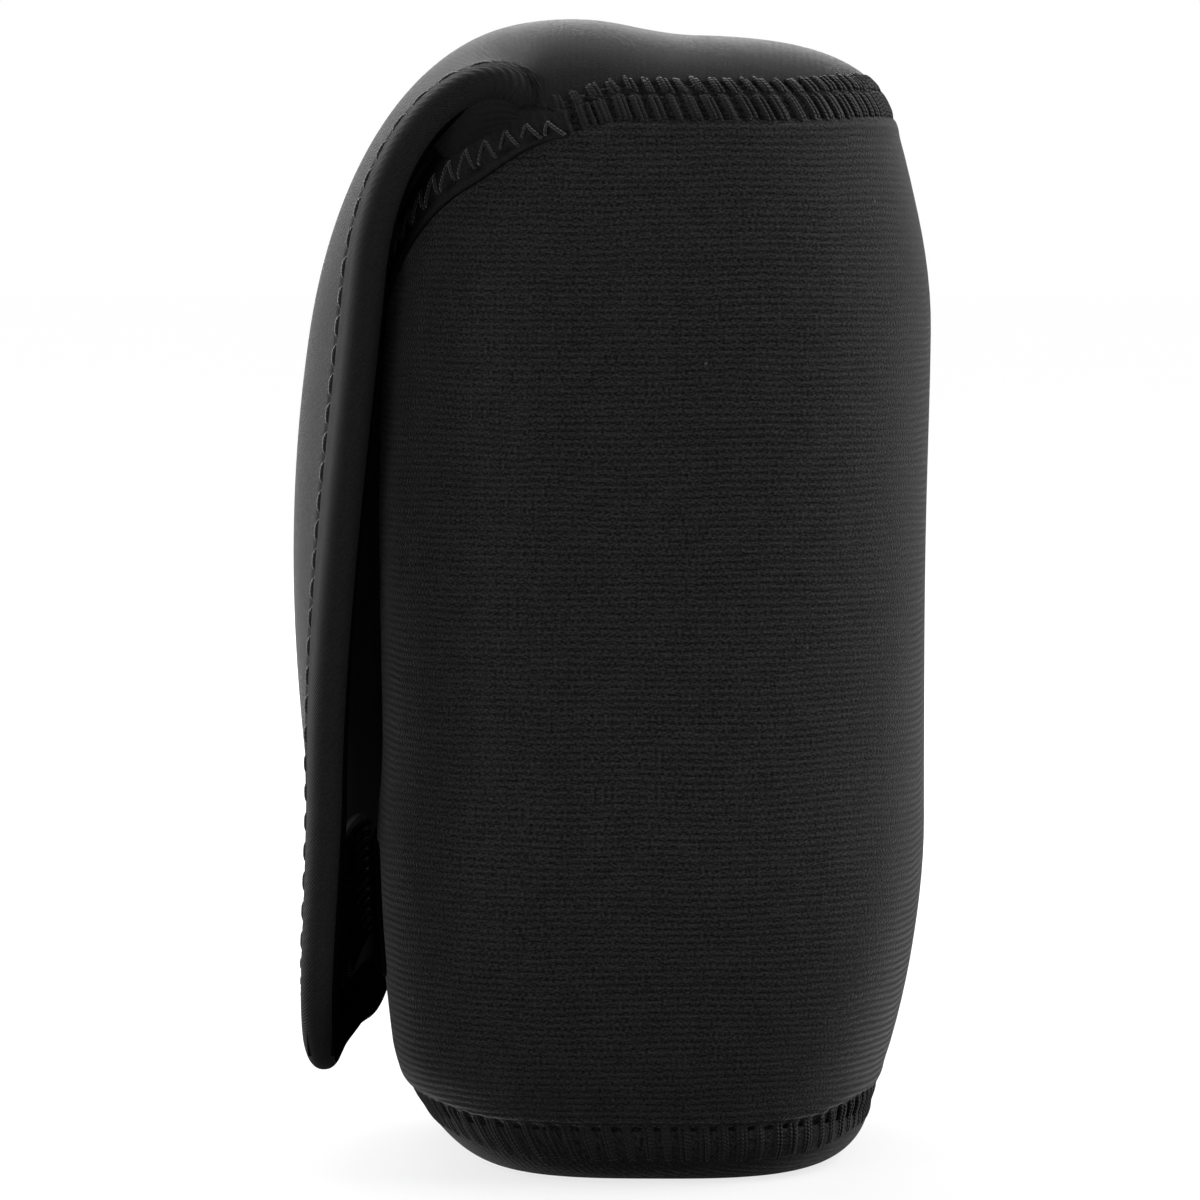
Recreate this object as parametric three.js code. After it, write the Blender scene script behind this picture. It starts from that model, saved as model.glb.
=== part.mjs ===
// A soft camera sleeve of knit-faced neoprene: a stuffed tube sewn to a base below and a domed crown above.
// The crown runs on over the front as a flap with a bound edge, closed near its tip by hook and loop.
// Millimetres. X runs across the sleeve, the flap faces -Y, and Z is up from the surface that it stands on.
import * as THREE from "three";

// Sleeve body
const SLEEVE_WIDTH = 90; // outside, at the fullest height
const SLEEVE_DEPTH = 65.2; // outside, at the fullest height, without the flap
const PLAN_POWER = 3; // squareness of the plan outline: 2 is an ellipse
const NEOPRENE = 3; // thickness of every panel
const BASE_SEAM_HEIGHT = 6.4; // also the radius that the base turns up with
const BASE_DRAW_IN = 6.8; // how far the base seam lies inside the fullest outline
const BASE_TAPER_LENGTH = 33; // height over which the tube swells out above the base seam
const FRONT_FULLNESS = 4.2; // how much less the foot of the front draws in
const FRONT_FOOT_HEIGHT = 12; // height at which that begins to fade, down to the floor
const CROWN_SEAM_HEIGHT = 124;
const CROWN_DRAW_IN = 4.3; // how far the crown seam lies inside the fullest outline
const CROWN_TAPER_LENGTH = 25; // height over which the tube draws in below the crown seam
const TAPER_POWER = 1.8;

// Crown and mouth
const CROWN_RISE = 10; // crest of the dome above its seam, on the centre line
const CROWN_TILT = 0.06; // rise gained for each millimetre towards the front
const CREST_LIFT = 1.7; // extra rise of the soft hump at the fold
const CREST_LENGTH = 17; // how far behind the fold the hump begins
const DOME_POWER = 3;
const MOUTH_DROP = 22; // how far the scooped front edge dips below the crown seam

// Flap, as two guides in the side view: one on the centre line and one along its edges
const FOLD_SETBACK = 20.2; // from the sleeve's fullest front back to the fold line
const FOLD_AXIS_RISE = 0.4; // the fold turns about a line just above the crest
const FLAP_EDGE_INSET = 1.8; // flap edge inside the crown's outline at the fold
const CREST_REACH = 16; // how far the centre line runs forward from the crest before it turns down
const SHOULDER_DROP = 26; // centre of the shoulder's end below the crown seam
const SHOULDER_SWELL = 1.4; // and how far it stands in front of the closed tab
const SHOULDER_LEAN = 0.15; // forward lean of the centre line there
const SHOULDER_PULL = 21; // height over which the shoulder turns down to that lean
const FRONT_BULGE = 4; // the fullest pull of the flap's front before the closed tab
const FRONT_BULGE_HEIGHT = 62;
const EDGE_LIFT = 9.8; // pull that raises the edges out of the crown seam
const EDGE_LIFT_REACH = 2.5;
const EDGE_SHOULDER_LIFT = 5.3;
const EDGE_SHOULDER_DROP = 18;
const EDGE_SHOULDER_SETBACK = 6.6; // edges of the shoulder behind the closed tab
const EDGE_SHOULDER_LEAN = 0.1;
const EDGE_FRONT_SETBACK = 1.6;
const HANDLE_SHARE = 0.33; // pull of a guide along its stretch
const CUP_BLEND = 0.1; // share of the flap in which the dome's section becomes the flap's, up to its tape

// Tab: the lowest stretch of the flap, which peels off the body
const TAB_FOLD_HEIGHT = 44;
const TAB_TIP_HEIGHT = 12;
const TAB_SWELL = 1.2; // centre of the tab's fold in front of its tip
const TAB_EDGE_SETBACK = 1.4; // edges of the tab's fold behind its tip
const TAB_CORNER_RADIUS = 15;

// Hook and loop patches
const PATCH_WIDTH = 40;
const PATCH_HEIGHT = 16;
const PATCH_MIDDLE = 30; // height of the patches' middle
const PATCH_CORNER_RADIUS = 2.5;
const PATCH_STITCH_MARGIN = 2;
const LOOP_THICKNESS = 2;
const HOOK_THICKNESS = 2;

// Binding tape and thread
const BINDING_WALL = 0.6;
const BINDING_COVER = 6; // how far the tape reaches in from the edge
const BINDING_NOSE = 1.5; // how far the rounded tape stands past the panel's edge
const BINDING_ROUND = 1.2; // how much its nose is rounded off
const TOPSTITCH_MARGIN = 1.6; // from the tape's inner margin to its topstitch
const THREAD_RADIUS = 0.35;
const THREAD_MITRE = 0.4; // keeps the thread from growing too wide where it turns back
const SEAM_STITCH_PITCH = 2.3;
const SEAM_STITCH_SPAN = 4.4; // width of the flat seams across the joint of two panels
const MOUTH_STITCH_PITCH = 3;
const MOUTH_STITCH_SPAN = 3;

// Room between pieces
const CLEARANCE = 0.3; // between pieces that are sewn together
const MATING_GAP = 0.4; // between the hook and the loop faces
const FOLD_GAP = 0.4; // slit at the fold line and at the tab's fold

// Colours
const NEOPRENE_BLACK = { color: 0x1b1b1d, roughness: 0.92, metalness: 0 };
const TAPE_BLACK = { color: 0x151516, roughness: 0.7, metalness: 0 };
const THREAD_BLACK = { color: 0x2b2b2e, roughness: 0.6, metalness: 0 };
const LOOP_BLACK = { color: 0x101011, roughness: 1, metalness: 0 };
const HOOK_BLACK = { color: 0x0d0d0e, roughness: 0.5, metalness: 0 };

// Facets
const BACK_STATIONS = 36;
const FRONT_STATIONS = 32;
const FRONT_MARKS = 256; // for measuring along the front
const WALL_ROWS = 7;
const RIM_ROWS = 3;
const RIM_DEPTH = 14; // stretch below the mouth with closer rows
const BEND_STEPS = 4;
const SHEET_COLUMNS = 14;
const CROWN_ROWS = 14;
const FOLD_ROWS = 4;
const FLAP_ROWS = 19;
const TAB_ROWS = 14;
const CORNER_STEPS = 7;
const PATCH_COLUMNS = 8;

// Worked out from the driving dimensions
const halfWidth = SLEEVE_WIDTH / 2;
const halfDepth = SLEEVE_DEPTH / 2;
const seamHalfWidth = halfWidth - CROWN_DRAW_IN;
const seamHalfDepth = halfDepth - CROWN_DRAW_IN;
const foldY = FOLD_SETBACK - halfDepth;
const crestHeight = CROWN_SEAM_HEIGHT + domeRise(0, foldY);
const patchTop = PATCH_MIDDLE + PATCH_HEIGHT / 2;
const closureDepth = NEOPRENE + HOOK_THICKNESS + MATING_GAP + LOOP_THICKNESS + 2 * CLEARANCE;
const tabY = insetAt(patchTop) - halfDepth - closureDepth;
const tabLength = TAB_FOLD_HEIGHT - TAB_TIP_HEIGHT;
const foldHalfWidth = planHalfWidth(foldY);
const flapHalfWidth = foldHalfWidth - FLAP_EDGE_INSET;
const cornerAngle = Math.asin((-foldY / seamHalfDepth) ** (PLAN_POWER / 2));
const threadLift = CLEARANCE + THREAD_RADIUS;
const tapeFace = CLEARANCE + BINDING_WALL;

function signedPower(value, power) {
  return Math.sign(value) * Math.abs(value) ** power;
}

function smoothStep(value) {
  const t = Math.min(Math.max(value, 0), 1);
  return t * t * (3 - 2 * t);
}

// How far the tube's outside lies inside the fullest outline at a height.
function insetAt(height) {
  const below = Math.max(0, 1 - (CROWN_SEAM_HEIGHT - height) / CROWN_TAPER_LENGTH);
  return BASE_DRAW_IN * baseTaper(height) + CROWN_DRAW_IN * below ** TAPER_POWER;
}

function baseTaper(height) {
  return Math.max(0, 1 - (height - BASE_SEAM_HEIGHT) / BASE_TAPER_LENGTH) ** TAPER_POWER;
}

// Depth of the fullest outline in front of the middle plane, with the fullness at its foot.
function frontReach(height) {
  const foot = smoothStep(height / FRONT_FOOT_HEIGHT) * Math.min(baseTaper(height), 1);
  return halfDepth + FRONT_FULLNESS * foot;
}

// A point of the plan outline, drawn in by an inset. Angle 0 is +X and a quarter turn is the back.
function planPoint(angle, inset, height) {
  const reach = Math.sin(angle) < 0 ? frontReach(height) : halfDepth;
  const x = (halfWidth - inset) * signedPower(Math.cos(angle), 2 / PLAN_POWER);
  const y = (reach - inset) * signedPower(Math.sin(angle), 2 / PLAN_POWER);
  return new THREE.Vector3(x, y, height);
}

// Outward direction of the plan outline, level.
function planNormal(angle, inset) {
  const x = signedPower(Math.cos(angle), 2 - 2 / PLAN_POWER) / (halfWidth - inset);
  const y = signedPower(Math.sin(angle), 2 - 2 / PLAN_POWER) / (halfDepth - inset);
  return new THREE.Vector3(x, y, 0).normalize();
}

// Half the width of the crown seam's outline at a depth.
function planHalfWidth(y) {
  const share = Math.min(Math.abs(y) / seamHalfDepth, 1);
  return seamHalfWidth * (1 - share ** PLAN_POWER) ** (1 / PLAN_POWER);
}

// Angles that divide a stretch of the plan outline into equal lengths.
function evenAngles(start, end, inset, count) {
  const fine = 720;
  const lengths = [0];
  let last = planPoint(start, inset, 0);
  for (let i = 1; i <= fine; i++) {
    const next = planPoint(start + ((end - start) * i) / fine, inset, 0);
    lengths.push(lengths[i - 1] + next.distanceTo(last));
    last = next;
  }
  const angles = [];
  let i = 0;
  for (let k = 0; k <= count; k++) {
    const wanted = (lengths[fine] * k) / count;
    while (i < fine - 1 && lengths[i + 1] < wanted) i++;
    const share = (wanted - lengths[i]) / (lengths[i + 1] - lengths[i]);
    angles.push(start + ((end - start) * (i + share)) / fine);
  }
  return angles;
}

function planLength(start, end, inset) {
  const points = evenAngles(start, end, inset, 200).map((angle) => planPoint(angle, inset, 0));
  return points.slice(1).reduce((sum, point, i) => sum + point.distanceTo(points[i]), 0);
}

// Height of the dome above its seam, on the centre line of an endless crown.
function crestRise(y) {
  const hump = smoothStep((foldY + CREST_LENGTH - y) / CREST_LENGTH);
  return CROWN_RISE - CROWN_TILT * y + CREST_LIFT * hump;
}

// Height of the dome above its seam.
function domeRise(x, y) {
  const plan = Math.abs(x / seamHalfWidth) ** PLAN_POWER + Math.abs(y / seamHalfDepth) ** PLAN_POWER;
  const share = Math.min(plan ** (1 / PLAN_POWER), 1);
  return crestRise(y) * (1 - share ** DOME_POWER) ** (1 / DOME_POWER);
}

// Closes a row of equal sections into one skin: a ring meets itself, and a run gets two end caps.
function skinOf(sections, ring) {
  const size = sections[0].length;
  const index = [];
  const spans = ring ? sections.length : sections.length - 1;
  for (let i = 0; i < spans; i++) {
    const here = i * size;
    const there = ((i + 1) % sections.length) * size;
    for (let j = 0; j < size; j++) {
      const k = (j + 1) % size;
      index.push(here + j, there + j, there + k, here + j, there + k, here + k);
    }
  }
  if (!ring) {
    const end = (sections.length - 1) * size;
    for (const [a, b, c] of capOf(sections[0])) index.push(a, b, c);
    for (const [a, b, c] of capOf(sections.at(-1))) index.push(end + a, end + c, end + b);
  }
  return closedGeometry(sections.flat(), index);
}

// Triangles of one section, seen along its own normal.
function capOf(section) {
  const normal = new THREE.Vector3();
  section.forEach((point, i) => {
    normal.add(new THREE.Vector3().crossVectors(point, section[(i + 1) % section.length]));
  });
  normal.normalize();
  const helper = Math.abs(normal.x) < 0.9 ? new THREE.Vector3(1, 0, 0) : new THREE.Vector3(0, 1, 0);
  const across = new THREE.Vector3().crossVectors(helper, normal).normalize();
  const up = new THREE.Vector3().crossVectors(normal, across);
  const flat = section.map((point) => new THREE.Vector2(point.dot(across), point.dot(up)));
  return THREE.ShapeUtils.triangulateShape(flat, []);
}

// Closes a stack of rings with a fan at each end.
function stackOf(rings) {
  const size = rings[0].length;
  const index = [];
  for (let i = 0; i < rings.length - 1; i++) {
    for (let j = 0; j < size; j++) {
      const k = (j + 1) % size;
      const here = i * size;
      const there = here + size;
      index.push(here + j, there + j, there + k, here + j, there + k, here + k);
    }
  }
  const points = rings.flat();
  const middle = (ring) => ring.reduce((sum, p) => sum.add(p), new THREE.Vector3()).divideScalar(size);
  const first = points.push(middle(rings[0])) - 1;
  const last = points.push(middle(rings.at(-1))) - 1;
  const top = (rings.length - 1) * size;
  for (let j = 0; j < size; j++) {
    const k = (j + 1) % size;
    index.push(first, j, k);
    index.push(last, top + k, top + j);
  }
  return closedGeometry(points, index);
}

// A geometry whose faces point out of the volume that they enclose.
function closedGeometry(points, index) {
  let volume = 0;
  const cross = new THREE.Vector3();
  for (let i = 0; i < index.length; i += 3) {
    const [a, b, c] = [points[index[i]], points[index[i + 1]], points[index[i + 2]]];
    volume += a.dot(cross.crossVectors(b, c));
  }
  const geometry = new THREE.BufferGeometry();
  geometry.setFromPoints(points);
  geometry.setIndex(volume > 0 ? index : index.reverse());
  geometry.computeVertexNormals();
  return geometry;
}

// Thread along points that lie on a surface; each has the surface's normal.
function threadOf(stations, closed) {
  const last = stations.length - 1;
  const sections = stations.map(({ point, normal }, i) => {
    const before = closed || i > 0 ? stations.at(i - 1).point : point;
    const after = closed || i < last ? stations[(i + 1) % stations.length].point : point;
    const arriving = new THREE.Vector3().subVectors(point, before).normalize();
    const leaving = new THREE.Vector3().subVectors(after, point).normalize();
    const along = new THREE.Vector3().addVectors(arriving, leaving).normalize();
    const side = new THREE.Vector3().crossVectors(normal, along).normalize();
    const straight = Math.max(leaving.dot(along), arriving.dot(along));
    const wide = THREAD_RADIUS / Math.max(straight, THREAD_MITRE);
    return [
      point.clone().addScaledVector(side, wide),
      point.clone().addScaledVector(normal, THREAD_RADIUS),
      point.clone().addScaledVector(side, -wide),
      point.clone().addScaledVector(normal, -THREAD_RADIUS),
    ];
  });
  return skinOf(sections, closed);
}

function steps(from, to, count) {
  return Array.from({ length: count + 1 }, (_, i) => from + ((to - from) * i) / count);
}

// The tube that wraps round front, sides and back, with its mouth scooped between the crown seam's ends.
const frontStart = Math.PI + cornerAngle;
const frontEnd = 2 * Math.PI - cornerAngle;
const frontMarks = evenAngles(frontStart, frontEnd, CROWN_DRAW_IN, FRONT_MARKS);

// Share of the front's length that lies before an angle.
function frontShare(angle) {
  const next = frontMarks.findIndex((mark) => mark > angle);
  if (next === 0) return 0;
  if (next < 0) return 1;
  const before = frontMarks[next - 1];
  return (next - 1 + (angle - before) / (frontMarks[next] - before)) / FRONT_MARKS;
}

function mouthHeight(angle) {
  const dip = Math.sin(Math.PI * frontShare(angle)) ** 2;
  return CROWN_SEAM_HEIGHT - CLEARANCE - MOUTH_DROP * dip;
}

const backAngles = evenAngles(-cornerAngle, frontStart, CROWN_DRAW_IN, BACK_STATIONS);
const frontAngles = evenAngles(frontStart, frontEnd, CROWN_DRAW_IN, FRONT_STATIONS);
const ringAngles = [...backAngles.slice(0, -1), ...frontAngles.slice(0, -1)];

function bodyWrap() {
  const bottom = BASE_SEAM_HEIGHT + CLEARANCE;
  const sections = ringAngles.map((angle) => {
    const top = mouthHeight(angle);
    const rim = top - RIM_DEPTH;
    const heights = [...steps(bottom, rim, WALL_ROWS), ...steps(rim, top, RIM_ROWS).slice(1)];
    const outside = heights.map((z) => planPoint(angle, insetAt(z), z));
    const inside = heights.map((z) => {
      const inset = insetAt(z);
      return planPoint(angle, inset, z).addScaledVector(planNormal(angle, inset), -NEOPRENE);
    });
    return [...outside, ...inside.reverse()];
  });
  return skinOf(sections, true);
}

// The base: flat where it stands, turned up all round to its seam.
function basePanel() {
  const centre = BASE_DRAW_IN + BASE_SEAM_HEIGHT;
  const bend = (radius) => steps(0, Math.PI / 2, BEND_STEPS).map((turn) => ({
    inset: centre - radius * Math.sin(turn),
    height: BASE_SEAM_HEIGHT - radius * Math.cos(turn),
  }));
  const profile = [...bend(BASE_SEAM_HEIGHT), ...bend(BASE_SEAM_HEIGHT - NEOPRENE).reverse()];
  const ring = ({ inset, height }) => ringAngles.map((angle) => planPoint(angle, inset, height));
  return stackOf(profile.map(ring));
}

// Crown, flap and tab are one cut of neoprene. Its outer face is lidPoint(u, v): u from -1 to 1 across,
// v from -1 at the back seam to 0 at the fold, 1 at the tab's fold and 2 at the tip.
function guide(points) {
  return new THREE.CubicBezierCurve(...points.map(([y, z]) => new THREE.Vector2(y, z)));
}

const shoulderHeight = CROWN_SEAM_HEIGHT - SHOULDER_DROP;
const shoulderY = tabY - SHOULDER_SWELL;
const frontPull = (shoulderHeight - TAB_FOLD_HEIGHT) * HANDLE_SHARE;
const tabFoldY = tabY - TAB_SWELL;
const centreGuides = [
  guide([
    [foldY, crestHeight],
    [foldY - CREST_REACH, crestHeight],
    [shoulderY + SHOULDER_LEAN * SHOULDER_PULL, shoulderHeight + SHOULDER_PULL],
    [shoulderY, shoulderHeight],
  ]),
  guide([
    [shoulderY, shoulderHeight],
    [shoulderY - SHOULDER_LEAN * frontPull, shoulderHeight - frontPull],
    [tabY - FRONT_BULGE, FRONT_BULGE_HEIGHT],
    [tabFoldY, TAB_FOLD_HEIGHT],
  ]),
  guide([
    [tabFoldY, TAB_FOLD_HEIGHT],
    [tabFoldY + TAB_SWELL * HANDLE_SHARE, TAB_FOLD_HEIGHT - tabLength * HANDLE_SHARE],
    [tabY, TAB_TIP_HEIGHT + tabLength * HANDLE_SHARE],
    [tabY, TAB_TIP_HEIGHT],
  ]),
];

const edgeShoulderHeight = CROWN_SEAM_HEIGHT - EDGE_SHOULDER_DROP;
const edgeShoulderY = tabY + EDGE_SHOULDER_SETBACK;
const edgeShoulderPull = EDGE_SHOULDER_DROP + EDGE_SHOULDER_LIFT;
const edgeFrontPull = (edgeShoulderHeight - TAB_FOLD_HEIGHT) * HANDLE_SHARE;
const edgeTabY = tabY + TAB_EDGE_SETBACK;
const edgeGuides = [
  guide([
    [foldY, CROWN_SEAM_HEIGHT],
    [foldY - EDGE_LIFT_REACH, CROWN_SEAM_HEIGHT + EDGE_LIFT],
    [edgeShoulderY + EDGE_SHOULDER_LEAN * edgeShoulderPull, edgeShoulderHeight + edgeShoulderPull],
    [edgeShoulderY, edgeShoulderHeight],
  ]),
  guide([
    [edgeShoulderY, edgeShoulderHeight],
    [edgeShoulderY - EDGE_SHOULDER_LEAN * edgeFrontPull, edgeShoulderHeight - edgeFrontPull],
    [tabY + EDGE_FRONT_SETBACK, TAB_FOLD_HEIGHT + edgeFrontPull],
    [edgeTabY, TAB_FOLD_HEIGHT],
  ]),
  guide([
    [edgeTabY, TAB_FOLD_HEIGHT],
    [edgeTabY - TAB_EDGE_SETBACK * HANDLE_SHARE, TAB_FOLD_HEIGHT - tabLength * HANDLE_SHARE],
    [tabY, TAB_TIP_HEIGHT + tabLength * HANDLE_SHARE],
    [tabY, TAB_TIP_HEIGHT],
  ]),
];

// Half the width of the flap and its tab, whose lower corners are rounded.
function lidHalfWidth(v) {
  if (v <= 1) return foldHalfWidth - FLAP_EDGE_INSET * smoothStep(v / CUP_BLEND);
  return roundedHalf(flapHalfWidth, TAB_CORNER_RADIUS, (2 - v) * tabLength);
}

// Half the width of a strip with rounded corners, at a distance from its end.
function roundedHalf(half, radius, fromEnd) {
  const reach = Math.max(0, radius - fromEnd);
  return half - radius + Math.sqrt(Math.max(0, radius ** 2 - reach ** 2));
}

function crownPoint(u, v) {
  const y = foldY + (seamHalfDepth - foldY) * Math.sin((-v * Math.PI) / 2);
  const x = planHalfWidth(y) * Math.sin((u * Math.PI) / 2);
  return new THREE.Vector3(x, y, CROWN_SEAM_HEIGHT + domeRise(x, y));
}

function lidPoint(u, v) {
  if (v <= 0) return crownPoint(u, v);
  const stretch = v >= 1 ? 2 : Math.floor(v * 2);
  const t = v >= 1 ? v - 1 : v * 2 - stretch;
  const centre = centreGuides[stretch].getPoint(t);
  const edge = edgeGuides[stretch].getPoint(t);
  const across = Math.sin((u * Math.PI) / 2);
  const domed = 1 - domeRise(across * foldHalfWidth, foldY) / domeRise(0, foldY);
  const cup = THREE.MathUtils.lerp(domed, across ** 2, smoothStep(v / CUP_BLEND));
  const line = centre.lerp(edge, cup);
  return new THREE.Vector3(lidHalfWidth(v) * across, line.x, line.y);
}

// Outward normal of the lid's outer face.
function lidNormal(u, v) {
  const small = 0.02;
  const right = lidPoint(Math.min(u + small, 1), v).sub(lidPoint(Math.max(u - small, -1), v));
  const down = lidPoint(u, Math.min(v + small, 2)).sub(lidPoint(u, Math.max(v - small, -1)));
  return right.cross(down).negate().normalize();
}

// A stretch of the lid between two values of v, with its thickness on the inner side.
function lidSheet(rows) {
  const columns = steps(-1, 1, SHEET_COLUMNS);
  const sections = rows.map((v) => {
    const outer = columns.map((u) => lidPoint(u, v));
    const inner = columns.map((u, i) => {
      const point = outer[i].clone().addScaledVector(lidNormal(u, v), -NEOPRENE);
      if (v <= CUP_BLEND / 2) point.z = Math.max(point.z, CROWN_SEAM_HEIGHT);
      return point;
    });
    return [...outer, ...inner.reverse()];
  });
  return skinOf(sections, false);
}

// Rows of the three stretches, which stop short of the folds by half a slit. Along a guide the distance
// from its end grows six times as fast as v does along its pull there.
const GUIDE_SPEED = 6;
const slit = FOLD_GAP / 2;
const crownStart = Math.asin(slit / (seamHalfDepth - foldY)) * (2 / Math.PI);
const crownRows = steps(-1, -crownStart, CROWN_ROWS);
crownRows[0] = -1 + crownStart;
const flapStart = slit / (GUIDE_SPEED * CREST_REACH);
const flapEnd = 1 - slit / (GUIDE_SPEED * (FRONT_BULGE_HEIGHT - TAB_FOLD_HEIGHT));
const bindingRows = steps(CUP_BLEND, flapEnd, FLAP_ROWS);
const flapRows = [...steps(flapStart, CUP_BLEND, FOLD_ROWS).slice(0, -1), ...bindingRows];
const tabStart = 1 + slit / tabLength;
const cornerStart = 2 - TAB_CORNER_RADIUS / tabLength;
const cornerRows = steps(0, Math.PI / 2, CORNER_STEPS).map(
  (turn) => 2 - (TAB_CORNER_RADIUS * (1 - Math.sin(turn))) / tabLength,
);
const tabRows = [...steps(tabStart, cornerStart, TAB_ROWS - CORNER_STEPS), ...cornerRows.slice(1)];

// Tape folded round a panel's edge. Each station turns a distance out from the panel's edge and a distance
// up from its outer face into a point.
function bindingOf(stations) {
  const far = -NEOPRENE - tapeFace;
  const profile = [
    [-BINDING_COVER, tapeFace],
    [0, tapeFace],
    [BINDING_NOSE, tapeFace - BINDING_ROUND],
    [BINDING_NOSE, far + BINDING_ROUND],
    [0, far],
    [-BINDING_COVER, far],
    [-BINDING_COVER, -NEOPRENE - CLEARANCE],
    [CLEARANCE, -NEOPRENE - CLEARANCE],
    [CLEARANCE, CLEARANCE],
    [-BINDING_COVER, CLEARANCE],
  ];
  return skinOf(stations.map(({ place }) => profile.map(([out, up]) => place(out, up))), false);
}

// Station on the flap's right edge. Its tape follows the cupped panel inwards.
function flapStation(v) {
  const share = 0.1;
  const edge = lidPoint(1, v);
  const within = lidPoint(acrossToU(1 - share), v);
  const outward = new THREE.Vector3().subVectors(edge, within).normalize();
  const reach = edge.distanceTo(within) / share;
  const place = (out, up) => {
    const u = acrossToU(1 + Math.min(out, 0) / reach);
    const point = lidPoint(u, v).addScaledVector(outward, Math.max(out, 0));
    return point.addScaledVector(lidNormal(u, v), up);
  };
  return { place, normal: lidNormal(1, v) };
}

function acrossToU(across) {
  return (Math.asin(across) * 2) / Math.PI;
}

// Stations along the flat tab's edge.
function tabStations(points) {
  return points.map(({ point, normal }, i) => {
    const before = points[Math.max(i - 1, 0)].point;
    const after = points[Math.min(i + 1, points.length - 1)].point;
    const along = new THREE.Vector3().subVectors(after, before).normalize();
    const outward = new THREE.Vector3().crossVectors(normal, along).normalize();
    const place = (out, up) => point.clone().addScaledVector(outward, out).addScaledVector(normal, up);
    return { place, normal };
  });
}

// Plain line of stitches on the tape's outer face.
function topstitchOf(stations) {
  const line = stations.map(({ place, normal }) => ({
    point: place(TOPSTITCH_MARGIN - BINDING_COVER, tapeFace + threadLift),
    normal,
  }));
  return threadOf(line, false);
}

const lidPlace = (u, v) => ({ point: lidPoint(u, v), normal: lidNormal(u, v) });
const flapEdge = bindingRows.map(flapStation);
const tabEdge = tabStations([
  ...tabRows.map((v) => lidPlace(1, v)),
  ...steps(1, -1, SHEET_COLUMNS).slice(1, -1).map((u) => lidPlace(u, 2)),
  ...tabRows.toReversed().map((v) => lidPlace(-1, v)),
]);

// Stations along the mouth lie in upright planes, so a steep edge stretches its tape.
function mouthStation(angle) {
  const small = 0.01;
  const top = mouthHeight(angle);
  const before = planPoint(angle - small, CROWN_DRAW_IN, mouthHeight(angle - small));
  const after = planPoint(angle + small, CROWN_DRAW_IN, mouthHeight(angle + small));
  const stretch = before.distanceTo(after) / Math.hypot(before.x - after.x, before.y - after.y);
  const place = (out, up) => {
    const height = top + out * stretch;
    const onWall = Math.min(height, top);
    const inset = insetAt(onWall);
    return planPoint(angle, inset, height).addScaledVector(planNormal(angle, inset), up);
  };
  return { place, normal: planNormal(angle, insetAt(top)) };
}

// Zigzag along the tape round the mouth.
function mouthStitch() {
  const length = planLength(frontStart, frontEnd, CROWN_DRAW_IN);
  const count = Math.round(length / MOUTH_STITCH_PITCH) * 2;
  const angles = evenAngles(frontStart, frontEnd, CROWN_DRAW_IN, count).slice(3, -3);
  const line = angles.map(mouthStation).map(({ place, normal }, i) => ({
    point: place(zigzag(i, MOUTH_STITCH_SPAN) - BINDING_COVER / 2, tapeFace + threadLift),
    normal,
  }));
  return threadOf(line, false);
}

function zigzag(i, span) {
  return i % 2 ? span / 2 : -span / 2;
}

// Outside of base, tube and crown at any height near their seams.
function outsidePoint(angle, height) {
  if (height > CROWN_SEAM_HEIGHT) {
    const seam = planPoint(angle, CROWN_DRAW_IN, height);
    const rise = (height - CROWN_SEAM_HEIGHT) / crestRise(seam.y);
    const share = (1 - rise ** DOME_POWER) ** (1 / DOME_POWER);
    return seam.multiply(new THREE.Vector3(share, share, 1));
  }
  if (height > BASE_SEAM_HEIGHT) return planPoint(angle, insetAt(height), height);
  const level = BASE_SEAM_HEIGHT - height;
  const turn = BASE_SEAM_HEIGHT - Math.sqrt(BASE_SEAM_HEIGHT ** 2 - level ** 2);
  return planPoint(angle, BASE_DRAW_IN + turn, height);
}

// Flat seam: one thread that crosses the joint of two panels to and fro.
function flatSeam(angles, height, inset, closed) {
  const line = angles.map((angle, i) => {
    const normal = planNormal(angle, inset);
    const point = outsidePoint(angle, height + zigzag(i, SEAM_STITCH_SPAN));
    return { point: point.addScaledVector(normal, threadLift), normal };
  });
  return threadOf(line, closed);
}

function crownSeamStitch() {
  const length = planLength(-cornerAngle, frontStart, CROWN_DRAW_IN);
  const count = Math.round(length / SEAM_STITCH_PITCH) * 2;
  const angles = evenAngles(-cornerAngle, frontStart, CROWN_DRAW_IN, count).slice(1, -1);
  return flatSeam(angles, CROWN_SEAM_HEIGHT, CROWN_DRAW_IN, false);
}

function baseSeamStitch() {
  const length = planLength(0, 2 * Math.PI, BASE_DRAW_IN);
  const count = Math.round(length / SEAM_STITCH_PITCH) * 2;
  const angles = evenAngles(0, 2 * Math.PI, BASE_DRAW_IN, count).slice(0, -1);
  return flatSeam(angles, BASE_SEAM_HEIGHT, BASE_DRAW_IN, true);
}

// Distance of the tube's outside from the middle plane, where its fullest outline reaches out so far.
function wallDepth(x, height, reach) {
  const inset = insetAt(height);
  const share = Math.abs(x) / (halfWidth - inset);
  return (reach - inset) * (1 - share ** PLAN_POWER) ** (1 / PLAN_POWER);
}

// The tube is closed by an upright flat seam in the middle of the back.
function backSeamStitch() {
  const low = BASE_SEAM_HEIGHT + SEAM_STITCH_SPAN;
  const high = CROWN_SEAM_HEIGHT - SEAM_STITCH_SPAN;
  const count = Math.round((high - low) / SEAM_STITCH_PITCH) * 2;
  const line = steps(low, high, count).map((z, i) => {
    const x = zigzag(i, SEAM_STITCH_SPAN);
    const point = new THREE.Vector3(x, wallDepth(x, z, halfDepth) + threadLift, z);
    return { point, normal: new THREE.Vector3(0, 1, 0) };
  });
  return threadOf(line, false);
}

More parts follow.
